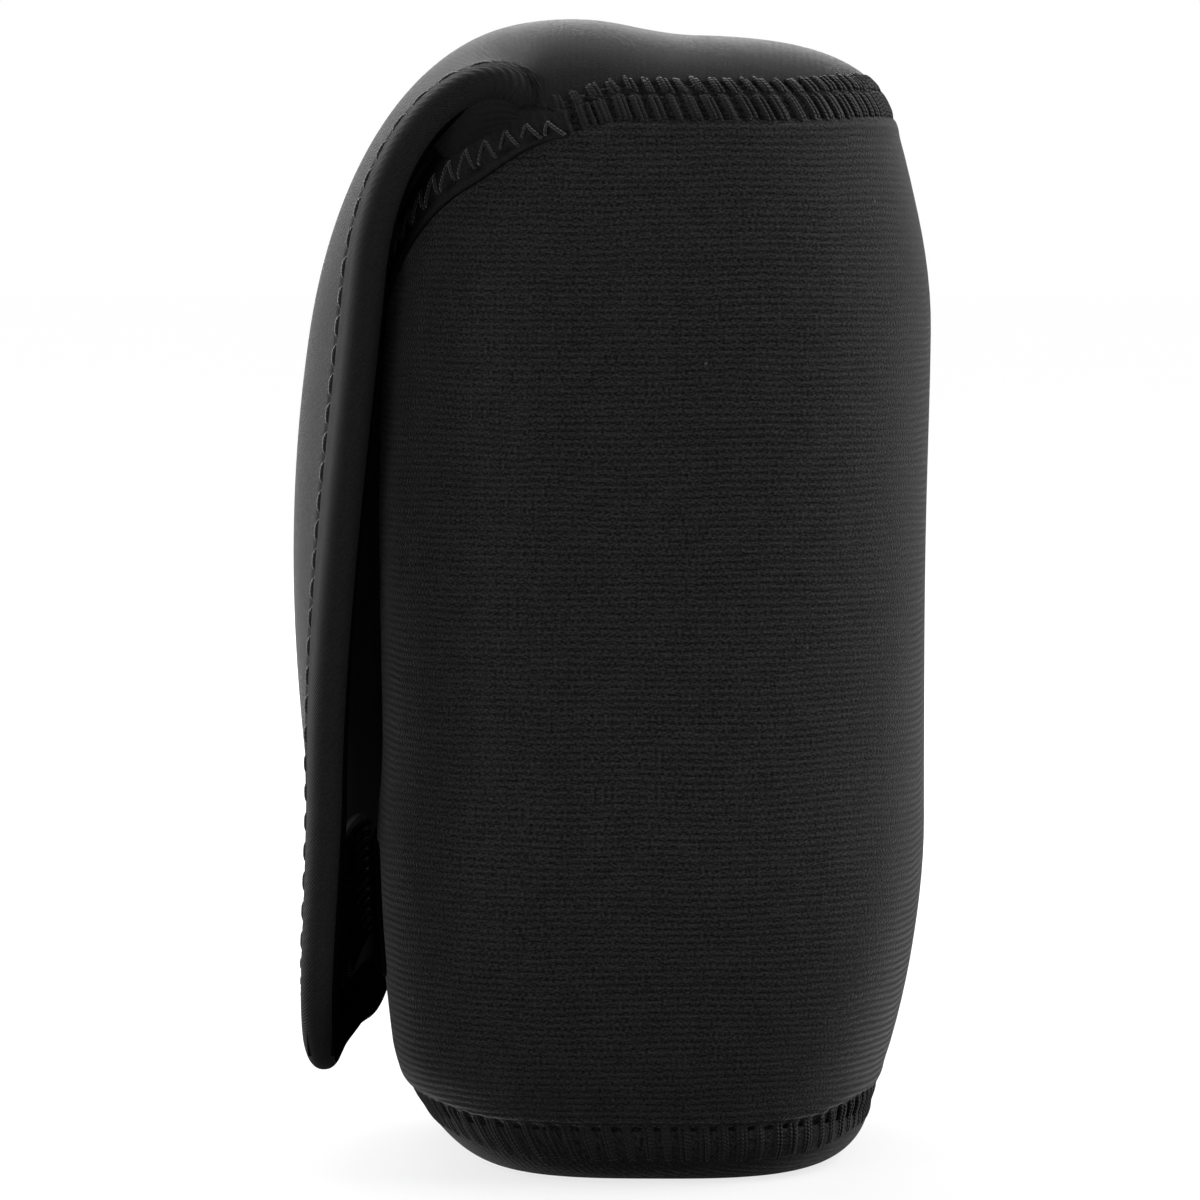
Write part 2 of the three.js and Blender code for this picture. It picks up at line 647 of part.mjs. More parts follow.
// Patch with rounded corners, as rows of places on its two faces.
function patchOf(nearFace, farFace) {
  const low = PATCH_MIDDLE - PATCH_HEIGHT / 2;
  const turn = steps(0, Math.PI / 2, BEND_STEPS).map((angle) => PATCH_CORNER_RADIUS * (1 - Math.cos(angle)));
  const lower = turn.map((rise) => low + rise);
  const upper = turn.map((rise) => patchTop - rise).reverse();
  const sections = [...lower, PATCH_MIDDLE, ...upper].map((z) => {
    const fromEnd = Math.min(z - low, patchTop - z);
    const half = roundedHalf(PATCH_WIDTH / 2, PATCH_CORNER_RADIUS, fromEnd);
    const columns = steps(-half, half, PATCH_COLUMNS);
    return [...columns.map((x) => nearFace(x, z)), ...columns.toReversed().map((x) => farFace(x, z))];
  });
  return skinOf(sections, false);
}

function frontPoint(x, z, lift) {
  return new THREE.Vector3(x, -wallDepth(x, z, frontReach(z)) - lift, z);
}

function loopPatch() {
  const near = (x, z) => frontPoint(x, z, CLEARANCE);
  const far = (x, z) => frontPoint(x, z, CLEARANCE + LOOP_THICKNESS);
  return patchOf(near, far);
}

// A point over the tab's outer face, found by its width and height.
function tabPlace(x, z) {
  const v = 1 + (TAB_FOLD_HEIGHT - z) / tabLength;
  return lidPlace(acrossToU(x / lidHalfWidth(v)), v);
}

function overTab(x, z, lift) {
  const { point, normal } = tabPlace(x, z);
  return point.addScaledVector(normal, lift);
}

function hookPatch() {
  const inside = -NEOPRENE - CLEARANCE;
  const near = (x, z) => overTab(x, z, inside);
  const far = (x, z) => overTab(x, z, inside - HOOK_THICKNESS);
  return patchOf(near, far);
}

// Corners and sides of the stitch line that holds a patch.
function patchStitchPlaces() {
  const x = PATCH_WIDTH / 2 - PATCH_STITCH_MARGIN;
  const low = PATCH_MIDDLE - PATCH_HEIGHT / 2 + PATCH_STITCH_MARGIN;
  const high = patchTop - PATCH_STITCH_MARGIN;
  const across = steps(-x, x, PATCH_COLUMNS);
  const up = steps(low, high, BEND_STEPS).slice(1, -1);
  return [
    ...across.map((place) => [place, low]),
    ...up.map((place) => [x, place]),
    ...across.toReversed().map((place) => [place, high]),
    ...up.toReversed().map((place) => [-x, place]),
  ];
}

// The hook patch is sewn through the tab, so its stitches show on the outer face.
function hookPatchStitch() {
  const line = patchStitchPlaces().map(([x, z]) => ({
    point: overTab(x, z, threadLift),
    normal: tabPlace(x, z).normal,
  }));
  return threadOf(line, true);
}

// The loop patch is sewn through the tube, so its stitches show on the lining.
function loopPatchStitch() {
  const line = patchStitchPlaces().map(([x, z]) => ({
    point: frontPoint(x, z, -NEOPRENE - threadLift),
    normal: new THREE.Vector3(0, 1, 0),
  }));
  return threadOf(line, true);
}

function piece(name, geometry, finish) {
  const mesh = new THREE.Mesh(geometry, new THREE.MeshStandardMaterial(finish));
  mesh.name = name;
  return mesh;
}

// The left piece of a pair is the right one mirrored.
function pair(name, geometry, finish) {
  const left = piece(`${name}_left`, geometry, finish);
  left.scale.x = -1;
  return [left, piece(`${name}_right`, geometry, finish)];
}

// A group that turns about a line across the sleeve; its pieces keep their places.
function hinged(pieces, y, z) {
  const group = new THREE.Group();
  group.position.set(0, y, z);
  group.updateMatrixWorld();
  pieces.forEach((mesh) => group.attach(mesh));
  return group;
}

const tab = hinged(
  [
    piece("tab_panel", lidSheet(tabRows), NEOPRENE_BLACK),
    piece("tab_binding", bindingOf(tabEdge), TAPE_BLACK),
    piece("tab_topstitch", topstitchOf(tabEdge), THREAD_BLACK),
    piece("hook_patch", hookPatch(), HOOK_BLACK),
    piece("hook_patch_stitch", hookPatchStitch(), THREAD_BLACK),
  ],
  tabFoldY - tapeFace,
  TAB_FOLD_HEIGHT,
);

const flap = hinged(
  [
    piece("flap_panel", lidSheet(flapRows), NEOPRENE_BLACK),
    ...pair("flap_binding", bindingOf(flapEdge), TAPE_BLACK),
    ...pair("flap_topstitch", topstitchOf(flapEdge), THREAD_BLACK),
    tab,
  ],
  foldY,
  crestHeight + FOLD_AXIS_RISE,
);

const sleeve = new THREE.Group();
sleeve.add(
  piece("body_wrap", bodyWrap(), NEOPRENE_BLACK),
  piece("base_panel", basePanel(), NEOPRENE_BLACK),
  piece("crown_panel", lidSheet(crownRows), NEOPRENE_BLACK),
  piece("mouth_binding", bindingOf(frontAngles.slice(1, -1).map(mouthStation)), TAPE_BLACK),
  piece("mouth_stitch", mouthStitch(), THREAD_BLACK),
  piece("crown_seam_stitch", crownSeamStitch(), THREAD_BLACK),
  piece("base_seam_stitch", baseSeamStitch(), THREAD_BLACK),
  piece("back_seam_stitch", backSeamStitch(), THREAD_BLACK),
  piece("loop_patch", loopPatch(), LOOP_BLACK),
  piece("loop_patch_stitch", loopPatchStitch(), THREAD_BLACK),
  flap,
);

export default sleeve;
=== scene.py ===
import math
import bpy
import numpy as np
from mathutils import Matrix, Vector


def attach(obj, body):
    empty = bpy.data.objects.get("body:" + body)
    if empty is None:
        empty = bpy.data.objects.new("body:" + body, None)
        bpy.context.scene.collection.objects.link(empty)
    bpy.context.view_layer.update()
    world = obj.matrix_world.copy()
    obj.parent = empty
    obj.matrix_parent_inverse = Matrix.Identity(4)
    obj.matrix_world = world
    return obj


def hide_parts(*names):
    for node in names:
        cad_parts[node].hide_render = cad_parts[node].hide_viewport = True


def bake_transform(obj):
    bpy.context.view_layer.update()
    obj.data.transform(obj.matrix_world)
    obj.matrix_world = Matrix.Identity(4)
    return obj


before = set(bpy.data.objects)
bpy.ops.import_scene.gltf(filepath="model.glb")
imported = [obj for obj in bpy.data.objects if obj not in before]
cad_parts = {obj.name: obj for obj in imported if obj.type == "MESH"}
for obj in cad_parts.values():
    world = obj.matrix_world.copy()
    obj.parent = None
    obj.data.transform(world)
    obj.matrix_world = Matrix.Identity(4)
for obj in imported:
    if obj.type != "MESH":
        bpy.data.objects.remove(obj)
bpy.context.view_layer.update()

# Sizes in millimetres, as in the part's source apart from the dome's tilt, crest lift and spread
MM = 0.001
SLEEVE_WIDTH = 90
SLEEVE_DEPTH = 65.2
PLAN_POWER = 3
NEOPRENE = 3
BASE_SEAM_HEIGHT = 6.4
BASE_DRAW_IN = 6.8
BASE_TAPER_LENGTH = 33
FRONT_FULLNESS = 4.2
FRONT_FOOT_HEIGHT = 12
CROWN_SEAM_HEIGHT = 124
CROWN_DRAW_IN = 4.3
CROWN_TAPER_LENGTH = 25
TAPER_POWER = 1.8
CROWN_RISE = 10
CROWN_TILT = 0.01
CREST_LIFT = 2.3
CREST_LENGTH = 17
DOME_POWER = 3
DOME_SPREAD = 1.02  # above 1, the dome leans in from the seam as the wall below it does
MOUTH_DROP = 22
FOLD_SETBACK = 20.2
FLAP_EDGE_INSET = 1.8
CREST_REACH = 16
SHOULDER_DROP = 26
SHOULDER_SWELL = 1.4
SHOULDER_LEAN = 0.15
SHOULDER_PULL = 21
FRONT_BULGE = 4
FRONT_BULGE_HEIGHT = 62
EDGE_LIFT = 9.8
EDGE_LIFT_REACH = 2.5
EDGE_SHOULDER_LIFT = 5.3
EDGE_SHOULDER_DROP = 18
EDGE_SHOULDER_SETBACK = 6.6
EDGE_SHOULDER_LEAN = 0.1
EDGE_FRONT_SETBACK = 1.6
HANDLE_SHARE = 0.33
CUP_BLEND = 0.1
TAB_FOLD_HEIGHT = 44
TAB_TIP_HEIGHT = 12
TAB_SWELL = 1.2
TAB_EDGE_SETBACK = 1.4
TAB_CORNER_RADIUS = 15
PATCH_WIDTH = 40
PATCH_HEIGHT = 16
PATCH_MIDDLE = 30
PATCH_CORNER_RADIUS = 2.5
PATCH_STITCH_MARGIN = 2
LOOP_THICKNESS = 2
HOOK_THICKNESS = 2
BINDING_COVER = 6
BINDING_NOSE = 1.5
TOPSTITCH_MARGIN = 1.6
MATING_GAP = 0.4
CLEARANCE = 0.3

# Sizes of what only shows here
TAPE_FACE = 0.75  # the tape's outer face above the panel
TAPE_WALL = 0.7
TAPE_ROUND = 1.3  # the tape starts to turn this far inside the panel's edge
THREAD_RADIUS = 0.27
SEAM_THREAD_RADIUS = 0.25
CROWN_STITCH_PITCH = 2.1
BASE_STITCH_PITCH = 2.4
TOPSTITCH_PITCH = 3.5
TOPSTITCH_SHARE = 0.72  # of the pitch that each stitch shows
TAPE_START = 7  # length over which the tape comes out of the crown seam
MOUTH_STITCH_PITCH = 2.4
MOUTH_STITCH_SPAN = 2.9
BACK_STITCH_SPAN = 4.4
WEB_REACH = 20  # the gathered tape that closes the corner between mouth and flap
WEB_WIDTH = 10
SEAM_LAP = 2.8  # how far the tube laps over the crown and the base in a flat seam
BASE_SEAM_SAG = 1.9
CROWN_SEAM_CLIMB = 2.0
BACK_SEAM_CLIMB = 0.6
BACK_SEAM_LOW = BASE_SEAM_HEIGHT + 3
BACK_SEAM_HIGH = CROWN_SEAM_HEIGHT - 0.2
FAR_EDGE_CURL = 2.6  # the flap's left edge lies nearer to the body than its right one
TIP_TRIM = 1.7  # the panel ends short of the tape's rounded nose at the tip
TIP_NOSE = 2.1
TIP_CURL = 0.9  # below the patches the tip bends in a little more
KNIT_COURSE = 0.84
KNIT_WALE = 0.62
NOSE_POWER = 0.9
SEAM_BAND = 3.1  # half height of the band that a flat seam draws in
SEAM_SINK = 0.18
GAP_SINK = 0.3  # more of it between two rungs
SEAM_PUFF = 0.14  # the cloth swells this much beside the band
SEAM_PUFF_PLACE = 3.7
CROWN_SLANT = 0.42
BASE_SLANT = 0.12
V_SPLIT = 0.85  # where the lid is divided in two

# Camera, found by setting the outline against the photograph's
IMAGE_SIZE = 1200
FOCAL_PIXELS = 6592
CAMERA_PLACE = (797.8, 9.3, 116.4)
CAMERA_AIM = (0, -6.96, 65.8)

# Worked out from the sizes
HALF_WIDTH = SLEEVE_WIDTH / 2
HALF_DEPTH = SLEEVE_DEPTH / 2
SEAM_HALF_WIDTH = HALF_WIDTH - CROWN_DRAW_IN
SEAM_HALF_DEPTH = HALF_DEPTH - CROWN_DRAW_IN
FOLD_Y = FOLD_SETBACK - HALF_DEPTH
CORNER_ANGLE = math.asin((-FOLD_Y / SEAM_HALF_DEPTH) ** (PLAN_POWER / 2))
PATCH_LOW = PATCH_MIDDLE - PATCH_HEIGHT / 2
PATCH_TOP = PATCH_MIDDLE + PATCH_HEIGHT / 2
CLOSURE_DEPTH = NEOPRENE + HOOK_THICKNESS + MATING_GAP + LOOP_THICKNESS + 2 * CLEARANCE
TAB_LENGTH = TAB_FOLD_HEIGHT - TAB_TIP_HEIGHT
V_CORNER = 2 - TAB_CORNER_RADIUS / TAB_LENGTH
FULL_TURN = 2 * math.pi
QUARTER_TURN = math.pi / 2

rng = np.random.default_rng(7)


# Shape of the tube
def signed_power(value, power):
    return np.sign(value) * np.abs(value) ** power


def smooth_step(value):
    t = np.clip(value, 0, 1)
    return t * t * (3 - 2 * t)


def bell(value, width):
    return np.exp(-((value / width) ** 2))


def from_middle(share):
    """0 in the middle of a strand and 1 at both ends."""
    return np.abs(2 * share - 1)


def base_taper(z):
    return np.maximum(0, 1 - (z - BASE_SEAM_HEIGHT) / BASE_TAPER_LENGTH) ** TAPER_POWER


def inset_at(z):
    below = np.maximum(0, 1 - (CROWN_SEAM_HEIGHT - z) / CROWN_TAPER_LENGTH)
    return BASE_DRAW_IN * base_taper(z) + CROWN_DRAW_IN * below**TAPER_POWER


def front_reach(z):
    foot = smooth_step(z / FRONT_FOOT_HEIGHT) * np.minimum(base_taper(z), 1)
    return HALF_DEPTH + FRONT_FULLNESS * foot


def plan_point(angle, inset, z):
    angle, inset, z = np.broadcast_arrays(angle, inset, z)
    reach = np.where(np.sin(angle) < 0, front_reach(z), HALF_DEPTH)
    x = (HALF_WIDTH - inset) * signed_power(np.cos(angle), 2 / PLAN_POWER)
    y = (reach - inset) * signed_power(np.sin(angle), 2 / PLAN_POWER)
    return np.stack([x, y, z + 0.0], -1)


def plan_normal(angle, inset):
    angle, inset = np.broadcast_arrays(angle, inset)
    x = signed_power(np.cos(angle), 2 - 2 / PLAN_POWER) / (HALF_WIDTH - inset)
    y = signed_power(np.sin(angle), 2 - 2 / PLAN_POWER) / (HALF_DEPTH - inset)
    return unit(np.stack([x, y, 0 * x], -1))


def plan_half_width(y):
    share = np.minimum(np.abs(y) / SEAM_HALF_DEPTH, 1)
    return SEAM_HALF_WIDTH * (1 - share**PLAN_POWER) ** (1 / PLAN_POWER)


def wall_depth(x, z, reach):
    inset = inset_at(z)
    share = np.abs(x) / (HALF_WIDTH - inset)
    return (reach - inset) * (1 - share**PLAN_POWER) ** (1 / PLAN_POWER)


def unit(vectors):
    return vectors / np.maximum(np.linalg.norm(vectors, axis=-1, keepdims=True), 1e-12)


def run_along(points):
    """Length from the first point of a line, or of each line in an array of lines."""
    steps = np.linalg.norm(np.diff(points, axis=-2), axis=-1)
    return np.concatenate([np.zeros((*steps.shape[:-1], 1)), steps.cumsum(-1)], -1)


def crest_rise(y):
    hump = smooth_step((FOLD_Y + CREST_LENGTH - y) / CREST_LENGTH)
    return CROWN_RISE - CROWN_TILT * y + CREST_LIFT * hump


def dome_round(value):
    return (1 - np.minimum(value, 1) ** DOME_POWER) ** (1 / DOME_POWER)


DOME_START = dome_round(1 / DOME_SPREAD)


def dome_rise(x, y):
    plan = np.abs(x / SEAM_HALF_WIDTH) ** PLAN_POWER + np.abs(y / SEAM_HALF_DEPTH) ** PLAN_POWER
    share = np.minimum(plan ** (1 / PLAN_POWER), 1)
    return crest_rise(y) * (dome_round(share / DOME_SPREAD) - DOME_START) / (1 - DOME_START)


# Lengths along the crown seam, from the near end of the fold round the back and then the front
fine_angles = np.linspace(-CORNER_ANGLE, 2 * math.pi - CORNER_ANGLE, 8193)
fine_points = plan_point(fine_angles, CROWN_DRAW_IN, 0)
fine_lengths = run_along(fine_points)
RING_LENGTH = fine_lengths[-1]
BACK_LENGTH = float(np.interp(math.pi + CORNER_ANGLE, fine_angles, fine_lengths))
FRONT_LENGTH = RING_LENGTH - BACK_LENGTH


def angle_at(length):
    return np.interp(np.mod(length, RING_LENGTH), fine_lengths, fine_angles)


def length_at(angle):
    return np.interp(angle, fine_angles, fine_lengths)


def mouth_height(length):
    share = np.clip((length - BACK_LENGTH) / FRONT_LENGTH, 0, 1)
    return CROWN_SEAM_HEIGHT - MOUTH_DROP * np.sin(math.pi * share) ** 2


def base_seam_height(length):
    """The base seam sags on the two broad sides."""
    sideways = np.abs(np.cos(angle_at(length)))
    return BASE_SEAM_HEIGHT - BASE_SEAM_SAG * smooth_step((sideways - 0.45) / 0.5)


def crown_seam_height(length):
    """The crown seam climbs from the two ends of the fold, and again towards the back."""
    along = np.mod(length, RING_LENGTH)
    from_corner = np.clip(np.minimum(along, BACK_LENGTH - along), 0, None)
    climb = CROWN_SEAM_CLIMB * smooth_step(from_corner / 9)
    climb = climb + BACK_SEAM_CLIMB * smooth_step((from_corner - 26) / 22)
    return CROWN_SEAM_HEIGHT + climb


def outside_point(angle, z):
    """Outside of base, tube and crown, from the base's bend to the first rise of the dome."""
    level = np.clip(BASE_SEAM_HEIGHT - z, 0, BASE_SEAM_HEIGHT)
    turn = BASE_SEAM_HEIGHT - np.sqrt(BASE_SEAM_HEIGHT**2 - level**2)
    inset = inset_at(np.clip(z, BASE_SEAM_HEIGHT, CROWN_SEAM_HEIGHT)) + turn
    point = plan_point(angle, inset, z)
    rise = np.clip((z - CROWN_SEAM_HEIGHT) / crest_rise(point[..., 1]), 0, 0.99)
    share = DOME_SPREAD * dome_round(DOME_START + (1 - DOME_START) * rise)
    point[..., 0] *= share
    point[..., 1] *= share
    return point


# Shape of the lid: crown, flap and tab in one sheet
CREST_HEIGHT = CROWN_SEAM_HEIGHT + float(dome_rise(0.0, FOLD_Y))
TAB_Y = float(inset_at(PATCH_TOP)) - HALF_DEPTH - CLOSURE_DEPTH
FOLD_HALF_WIDTH = float(plan_half_width(FOLD_Y))
FLAP_HALF_WIDTH = FOLD_HALF_WIDTH - FLAP_EDGE_INSET
SHOULDER_HEIGHT = CROWN_SEAM_HEIGHT - SHOULDER_DROP
EDGE_SHOULDER_HEIGHT = CROWN_SEAM_HEIGHT - EDGE_SHOULDER_DROP
EDGE_FRONT_PULL = (EDGE_SHOULDER_HEIGHT - TAB_FOLD_HEIGHT) * HANDLE_SHARE


def guides(start, lifted, shoulder, lean, pull, front_pull, front, tab_y):
    """Three cubic curves end to end in the side view: over the shoulder, down the front, along the tab."""
    tab_pull = TAB_LENGTH * HANDLE_SHARE
    points = (
        start,
        lifted,
        (shoulder[0] + lean * pull, shoulder[1] + pull),
        shoulder,
        (shoulder[0] - lean * front_pull, shoulder[1] - front_pull),
        front,
        (tab_y, TAB_FOLD_HEIGHT),
        (tab_y + (TAB_Y - tab_y) * HANDLE_SHARE, TAB_FOLD_HEIGHT - tab_pull),
        (TAB_Y, TAB_TIP_HEIGHT + tab_pull),
        (TAB_Y, TAB_TIP_HEIGHT),
    )
    return np.array([points[i : i + 4] for i in (0, 3, 6)], float)


CENTRE_GUIDES = guides(
    start=(FOLD_Y, CREST_HEIGHT),
    lifted=(FOLD_Y - CREST_REACH, CREST_HEIGHT),
    shoulder=(TAB_Y - SHOULDER_SWELL, SHOULDER_HEIGHT),
    lean=SHOULDER_LEAN,
    pull=SHOULDER_PULL,
    front_pull=(SHOULDER_HEIGHT - TAB_FOLD_HEIGHT) * HANDLE_SHARE,
    front=(TAB_Y - FRONT_BULGE, FRONT_BULGE_HEIGHT),
    tab_y=TAB_Y - TAB_SWELL,
)
EDGE_GUIDES = guides(
    start=(FOLD_Y, CROWN_SEAM_HEIGHT),
    lifted=(FOLD_Y - EDGE_LIFT_REACH, CROWN_SEAM_HEIGHT + EDGE_LIFT),
    shoulder=(TAB_Y + EDGE_SHOULDER_SETBACK, EDGE_SHOULDER_HEIGHT),
    lean=EDGE_SHOULDER_LEAN,
    pull=EDGE_SHOULDER_DROP + EDGE_SHOULDER_LIFT,
    front_pull=EDGE_FRONT_PULL,
    front=(TAB_Y + EDGE_FRONT_SETBACK, TAB_FOLD_HEIGHT + EDGE_FRONT_PULL),
    tab_y=TAB_Y + TAB_EDGE_SETBACK,
)


def guide_point(curves, v):
    """Points in the side view along a guide, for v from 0 to 2."""
    stretch = np.where(v >= 1, 2, np.floor(v * 2)).astype(int)
    t = np.where(v >= 1, v - 1, v * 2 - stretch)[..., None]
    a, b, c, d = np.moveaxis(curves[stretch], -2, 0)
    s = 1 - t
    return s**3 * a + 3 * s**2 * t * b + 3 * s * t**2 * c + t**3 * d


def lid_half_width(v):
    flap = FOLD_HALF_WIDTH - FLAP_EDGE_INSET * smooth_step(v / CUP_BLEND)
    reach = np.maximum(0, TAB_CORNER_RADIUS - (2 - v) * TAB_LENGTH)
    tab = FLAP_HALF_WIDTH - TAB_CORNER_RADIUS + np.sqrt(np.maximum(0, TAB_CORNER_RADIUS**2 - reach**2))
    return np.where(v <= 1, flap, tab)


def lid_point(u, v, cornered=True):
    """Outer face: u from -1 to 1 across, v from -1 at the back seam by 0 at the fold to 2 at the tip."""
    u, v = np.broadcast_arrays(np.asarray(u, float), np.asarray(v, float))
    across = np.sin(u * math.pi / 2)
    crown_y = FOLD_Y + (SEAM_HALF_DEPTH - FOLD_Y) * np.sin(-np.minimum(v, 0) * math.pi / 2)
    crown_x = plan_half_width(crown_y) * across
    crown_z = CROWN_SEAM_HEIGHT + dome_rise(crown_x, crown_y)
    lower = np.clip(v, 0, 2)
    centre = guide_point(CENTRE_GUIDES, lower)
    edge = guide_point(EDGE_GUIDES, lower)
    domed = 1 - dome_rise(across * FOLD_HALF_WIDTH, np.full_like(across, FOLD_Y)) / dome_rise(0.0, FOLD_Y)
    share = smooth_step(lower / CUP_BLEND)
    cup = (domed + (across**2 - domed) * share)[..., None]
    line = centre + (edge - centre) * cup
    half_width = lid_half_width(lower) if cornered else lid_half_width(np.minimum(lower, 1))
    sideways = half_width * across / FLAP_HALF_WIDTH
    # Each curl grows with the distance to the left and the way down the flap
    curl = FAR_EDGE_CURL * smooth_step((-0.35 - sideways) / 0.65) * smooth_step((lower - 0.22) / 0.5)
    curl = curl + TIP_CURL * smooth_step((0.35 - sideways) / 0.9) * smooth_step((lower - 1.62) / 0.3)
    line = line + np.stack([curl, 0 * curl], -1)
    crown = np.stack([crown_x, crown_y, crown_z], -1)
    flap = np.stack([half_width * across, line[..., 0], line[..., 1]], -1)
    return np.where((v <= 0)[..., None], crown, flap)


def lid_normal(u, v):
    """Taken on the sheet before its tip is cut round, where the lines of the grid don't run together."""
    small = 0.01
    u, v = np.broadcast_arrays(np.asarray(u, float), np.asarray(v, float))
    share = np.where(v > 1, lid_half_width(np.clip(v, 0, 2)) / FLAP_HALF_WIDTH, 1)
    u = across_to_u(np.sin(u * math.pi / 2) * share)
    right = lid_point(np.minimum(u + small, 1), v, False) - lid_point(np.maximum(u - small, -1), v, False)
    down = lid_point(u, np.minimum(v + small, 2), False) - lid_point(u, np.maximum(v - small, -1), False)
    return unit(-np.cross(right, down))


def across_to_u(across):
    return np.arcsin(np.clip(across, -1, 1)) * 2 / math.pi


# Meshes from grids of points
def grid_faces(rows, columns, closed, start=0):
    """Quads between the rows of a grid, whose columns may close on themselves."""
    spans = columns if closed else columns - 1
    r, c = np.meshgrid(np.arange(rows - 1) * columns, np.arange(spans), indexing="ij")
    n = (c + 1) % columns
    quads = np.stack([r + c, r + n, r + columns + n, r + columns + c], -1)
    return quads.reshape(-1, 4) + start


def add_object(name, data):
    obj = bpy.data.objects.new(name, data)
    bpy.context.scene.collection.objects.link(obj)
    return obj


def make_mesh(name, points, faces, uv=None, shade_marks=None, material_of=None, ring=None):
    """An object from points in millimetres. uv is in millimetres of cloth, one pair for each point."""
    mesh = bpy.data.meshes.new(name)
    mesh.from_pydata((np.asarray(points) * MM).tolist(), [], faces)
    if uv is not None:
        layer = mesh.uv_layers.new(name="cloth")
        corners = np.empty(len(mesh.loops), np.int32)
        mesh.loops.foreach_get("vertex_index", corners)
        places = np.asarray(uv, np.float32)[corners]
        if ring is not None:
            across = places.reshape(-1, 4, 2)[..., 0]
            over = (across.max(1) - across.min(1) > ring / 2)[:, None] & (across < ring / 2)
            across += ring * over
        layer.data.foreach_set("uv", places.ravel())
    # painted shade: a mark for each point, by which the materials darken the colour
    if shade_marks is not None:
        layer = mesh.attributes.new("painted_shade", "FLOAT", "POINT")
        layer.data.foreach_set("value", np.asarray(shade_marks, np.float32))
    if material_of is not None:
        mesh.polygons.foreach_set("material_index", np.asarray(material_of, np.int32))
    mesh.shade_smooth()
    return add_object(name, mesh)


def grid_normals(points, closed):
    """Normals of a grid, on the side from which rows run up and columns run to the right."""
    if closed:
        along = np.roll(points, -1, 1) - np.roll(points, 1, 1)
    else:
        along = np.gradient(points, axis=1)
    return unit(np.cross(along, np.gradient(points, axis=0)))


def shell_object(name, outer, inner, closed, uv, shade_marks=None, ring=None):
    """A sheet with thickness: an outer grid and an inner one, joined round their rims."""
    rows, columns = outer.shape[:2]
    inner_rows = inner.shape[0]
    start = rows * columns
    outside = grid_faces(rows, columns, closed)
    inside = grid_faces(inner_rows, columns, closed, start)[:, ::-1]
    c = np.arange(columns if closed else columns - 1)
    n = (c + 1) % columns
    top, inner_top = start - columns, start + (inner_rows - 1) * columns
    rims = [
        np.stack([start + c, start + n, n, c], -1),
        np.stack([top + c, top + n, inner_top + n, inner_top + c], -1),
    ]
    if not closed:
        r = np.arange(rows - 1) * columns
        left = np.stack([r, r + columns, start + r + columns, start + r], -1)
        rims += [left, (left + columns - 1)[:, ::-1]]
    faces = np.concatenate([outside, inside, *rims])
    material_of = np.arange(len(faces)) >= len(outside)
    points = np.concatenate([outer.reshape(-1, 3), inner.reshape(-1, 3)])
    coordinates = np.concatenate([uv[0].reshape(-1, 2), uv[1].reshape(-1, 2)])
    painted_shade = None
    if shade_marks is not None:
        painted_shade = np.concatenate([shade_marks.ravel(), np.zeros(inner_rows * columns)])
    return make_mesh(name, points, faces.tolist(), coordinates, painted_shade, material_of, ring)


def tube_object(name, lines, normals, radius, sides=6):
    """Many equal strands in one mesh: lines is an array of strands, points and places."""
    count, size = lines.shape[:2]
    along = unit(np.gradient(lines, axis=1))
    side = unit(np.cross(normals, along))
    up = np.cross(along, side)
    turn = np.arange(sides) * 2 * math.pi / sides
    ring = side[:, :, None] * np.cos(turn)[:, None] + up[:, :, None] * np.sin(turn)[:, None]
    points = lines[:, :, None] + ring * radius
    caps = np.array([np.arange(sides)[::-1], np.arange(sides) + (size - 1) * sides])
    starts = np.arange(count)[:, None, None] * size * sides
    quads = (grid_faces(size, sides, True)[None] + starts).reshape(-1, 4)
    ends = (caps[None] + starts).reshape(-1, sides)
    uv = np.stack(np.broadcast_arrays(np.arange(sides) / sides, run_along(lines)[..., None]), -1)
    faces = quads.tolist() + ends.tolist()
    return make_mesh(name, points.reshape(-1, 3), faces, uv.reshape(-1, 2))




# Materials
WHITE = (1, 1, 1, 1)
KNIT_RELIEF = 0.00008  # depths in metres
FINE_RELIEF = 0.00004


def new_material(name):
    material = bpy.data.materials.new(name)
    material.use_nodes = True
    tree = material.node_tree
    return material, tree, tree.nodes["Principled BSDF"]


def set_inputs(node, values):
    for name, value in values.items():
        node.inputs[name].default_value = value


def put(tree, socket, value):
    if isinstance(value, bpy.types.NodeSocket):
        tree.links.new(value, socket)
    else:
        socket.default_value = value


def calc(tree, operation, *values):
    node = tree.nodes.new("ShaderNodeMath")
    node.operation = operation
    for socket, value in zip(node.inputs, values):
        put(tree, socket, value)
    return node.outputs[0]


def weigh(tree, value, weight, rest):
    """The value times its weight, plus the rest."""
    return calc(tree, "MULTIPLY_ADD", value, weight, rest)


def cloth_place(tree):
    node = tree.nodes.new("ShaderNodeUVMap")
    node.uv_map = "cloth"
    parts = tree.nodes.new("ShaderNodeSeparateXYZ")
    tree.links.new(node.outputs[0], parts.inputs[0])
    return node.outputs[0], parts.outputs[0], parts.outputs[1]


def uneven(tree, place, scale, detail=2.0, roughness=0.5):
    """Noise about zero."""
    node = tree.nodes.new("ShaderNodeTexNoise")
    tree.links.new(place, node.inputs["Vector"])
    set_inputs(node, {"Scale": scale, "Detail": detail, "Roughness": roughness})
    return calc(tree, "SUBTRACT", node.outputs["Fac"], 0.5)


def stretched(tree, u, v, u_scale, v_scale):
    """Cloth coordinates with their own scale each way, for grain that runs along the courses."""
    node = tree.nodes.new("ShaderNodeCombineXYZ")
    tree.links.new(calc(tree, "MULTIPLY", u, u_scale), node.inputs[0])
    tree.links.new(calc(tree, "MULTIPLY", v, v_scale), node.inputs[1])
    return node.outputs[0]


def waves(tree, value, length):
    return calc(tree, "SINE", calc(tree, "MULTIPLY", value, FULL_TURN / length))


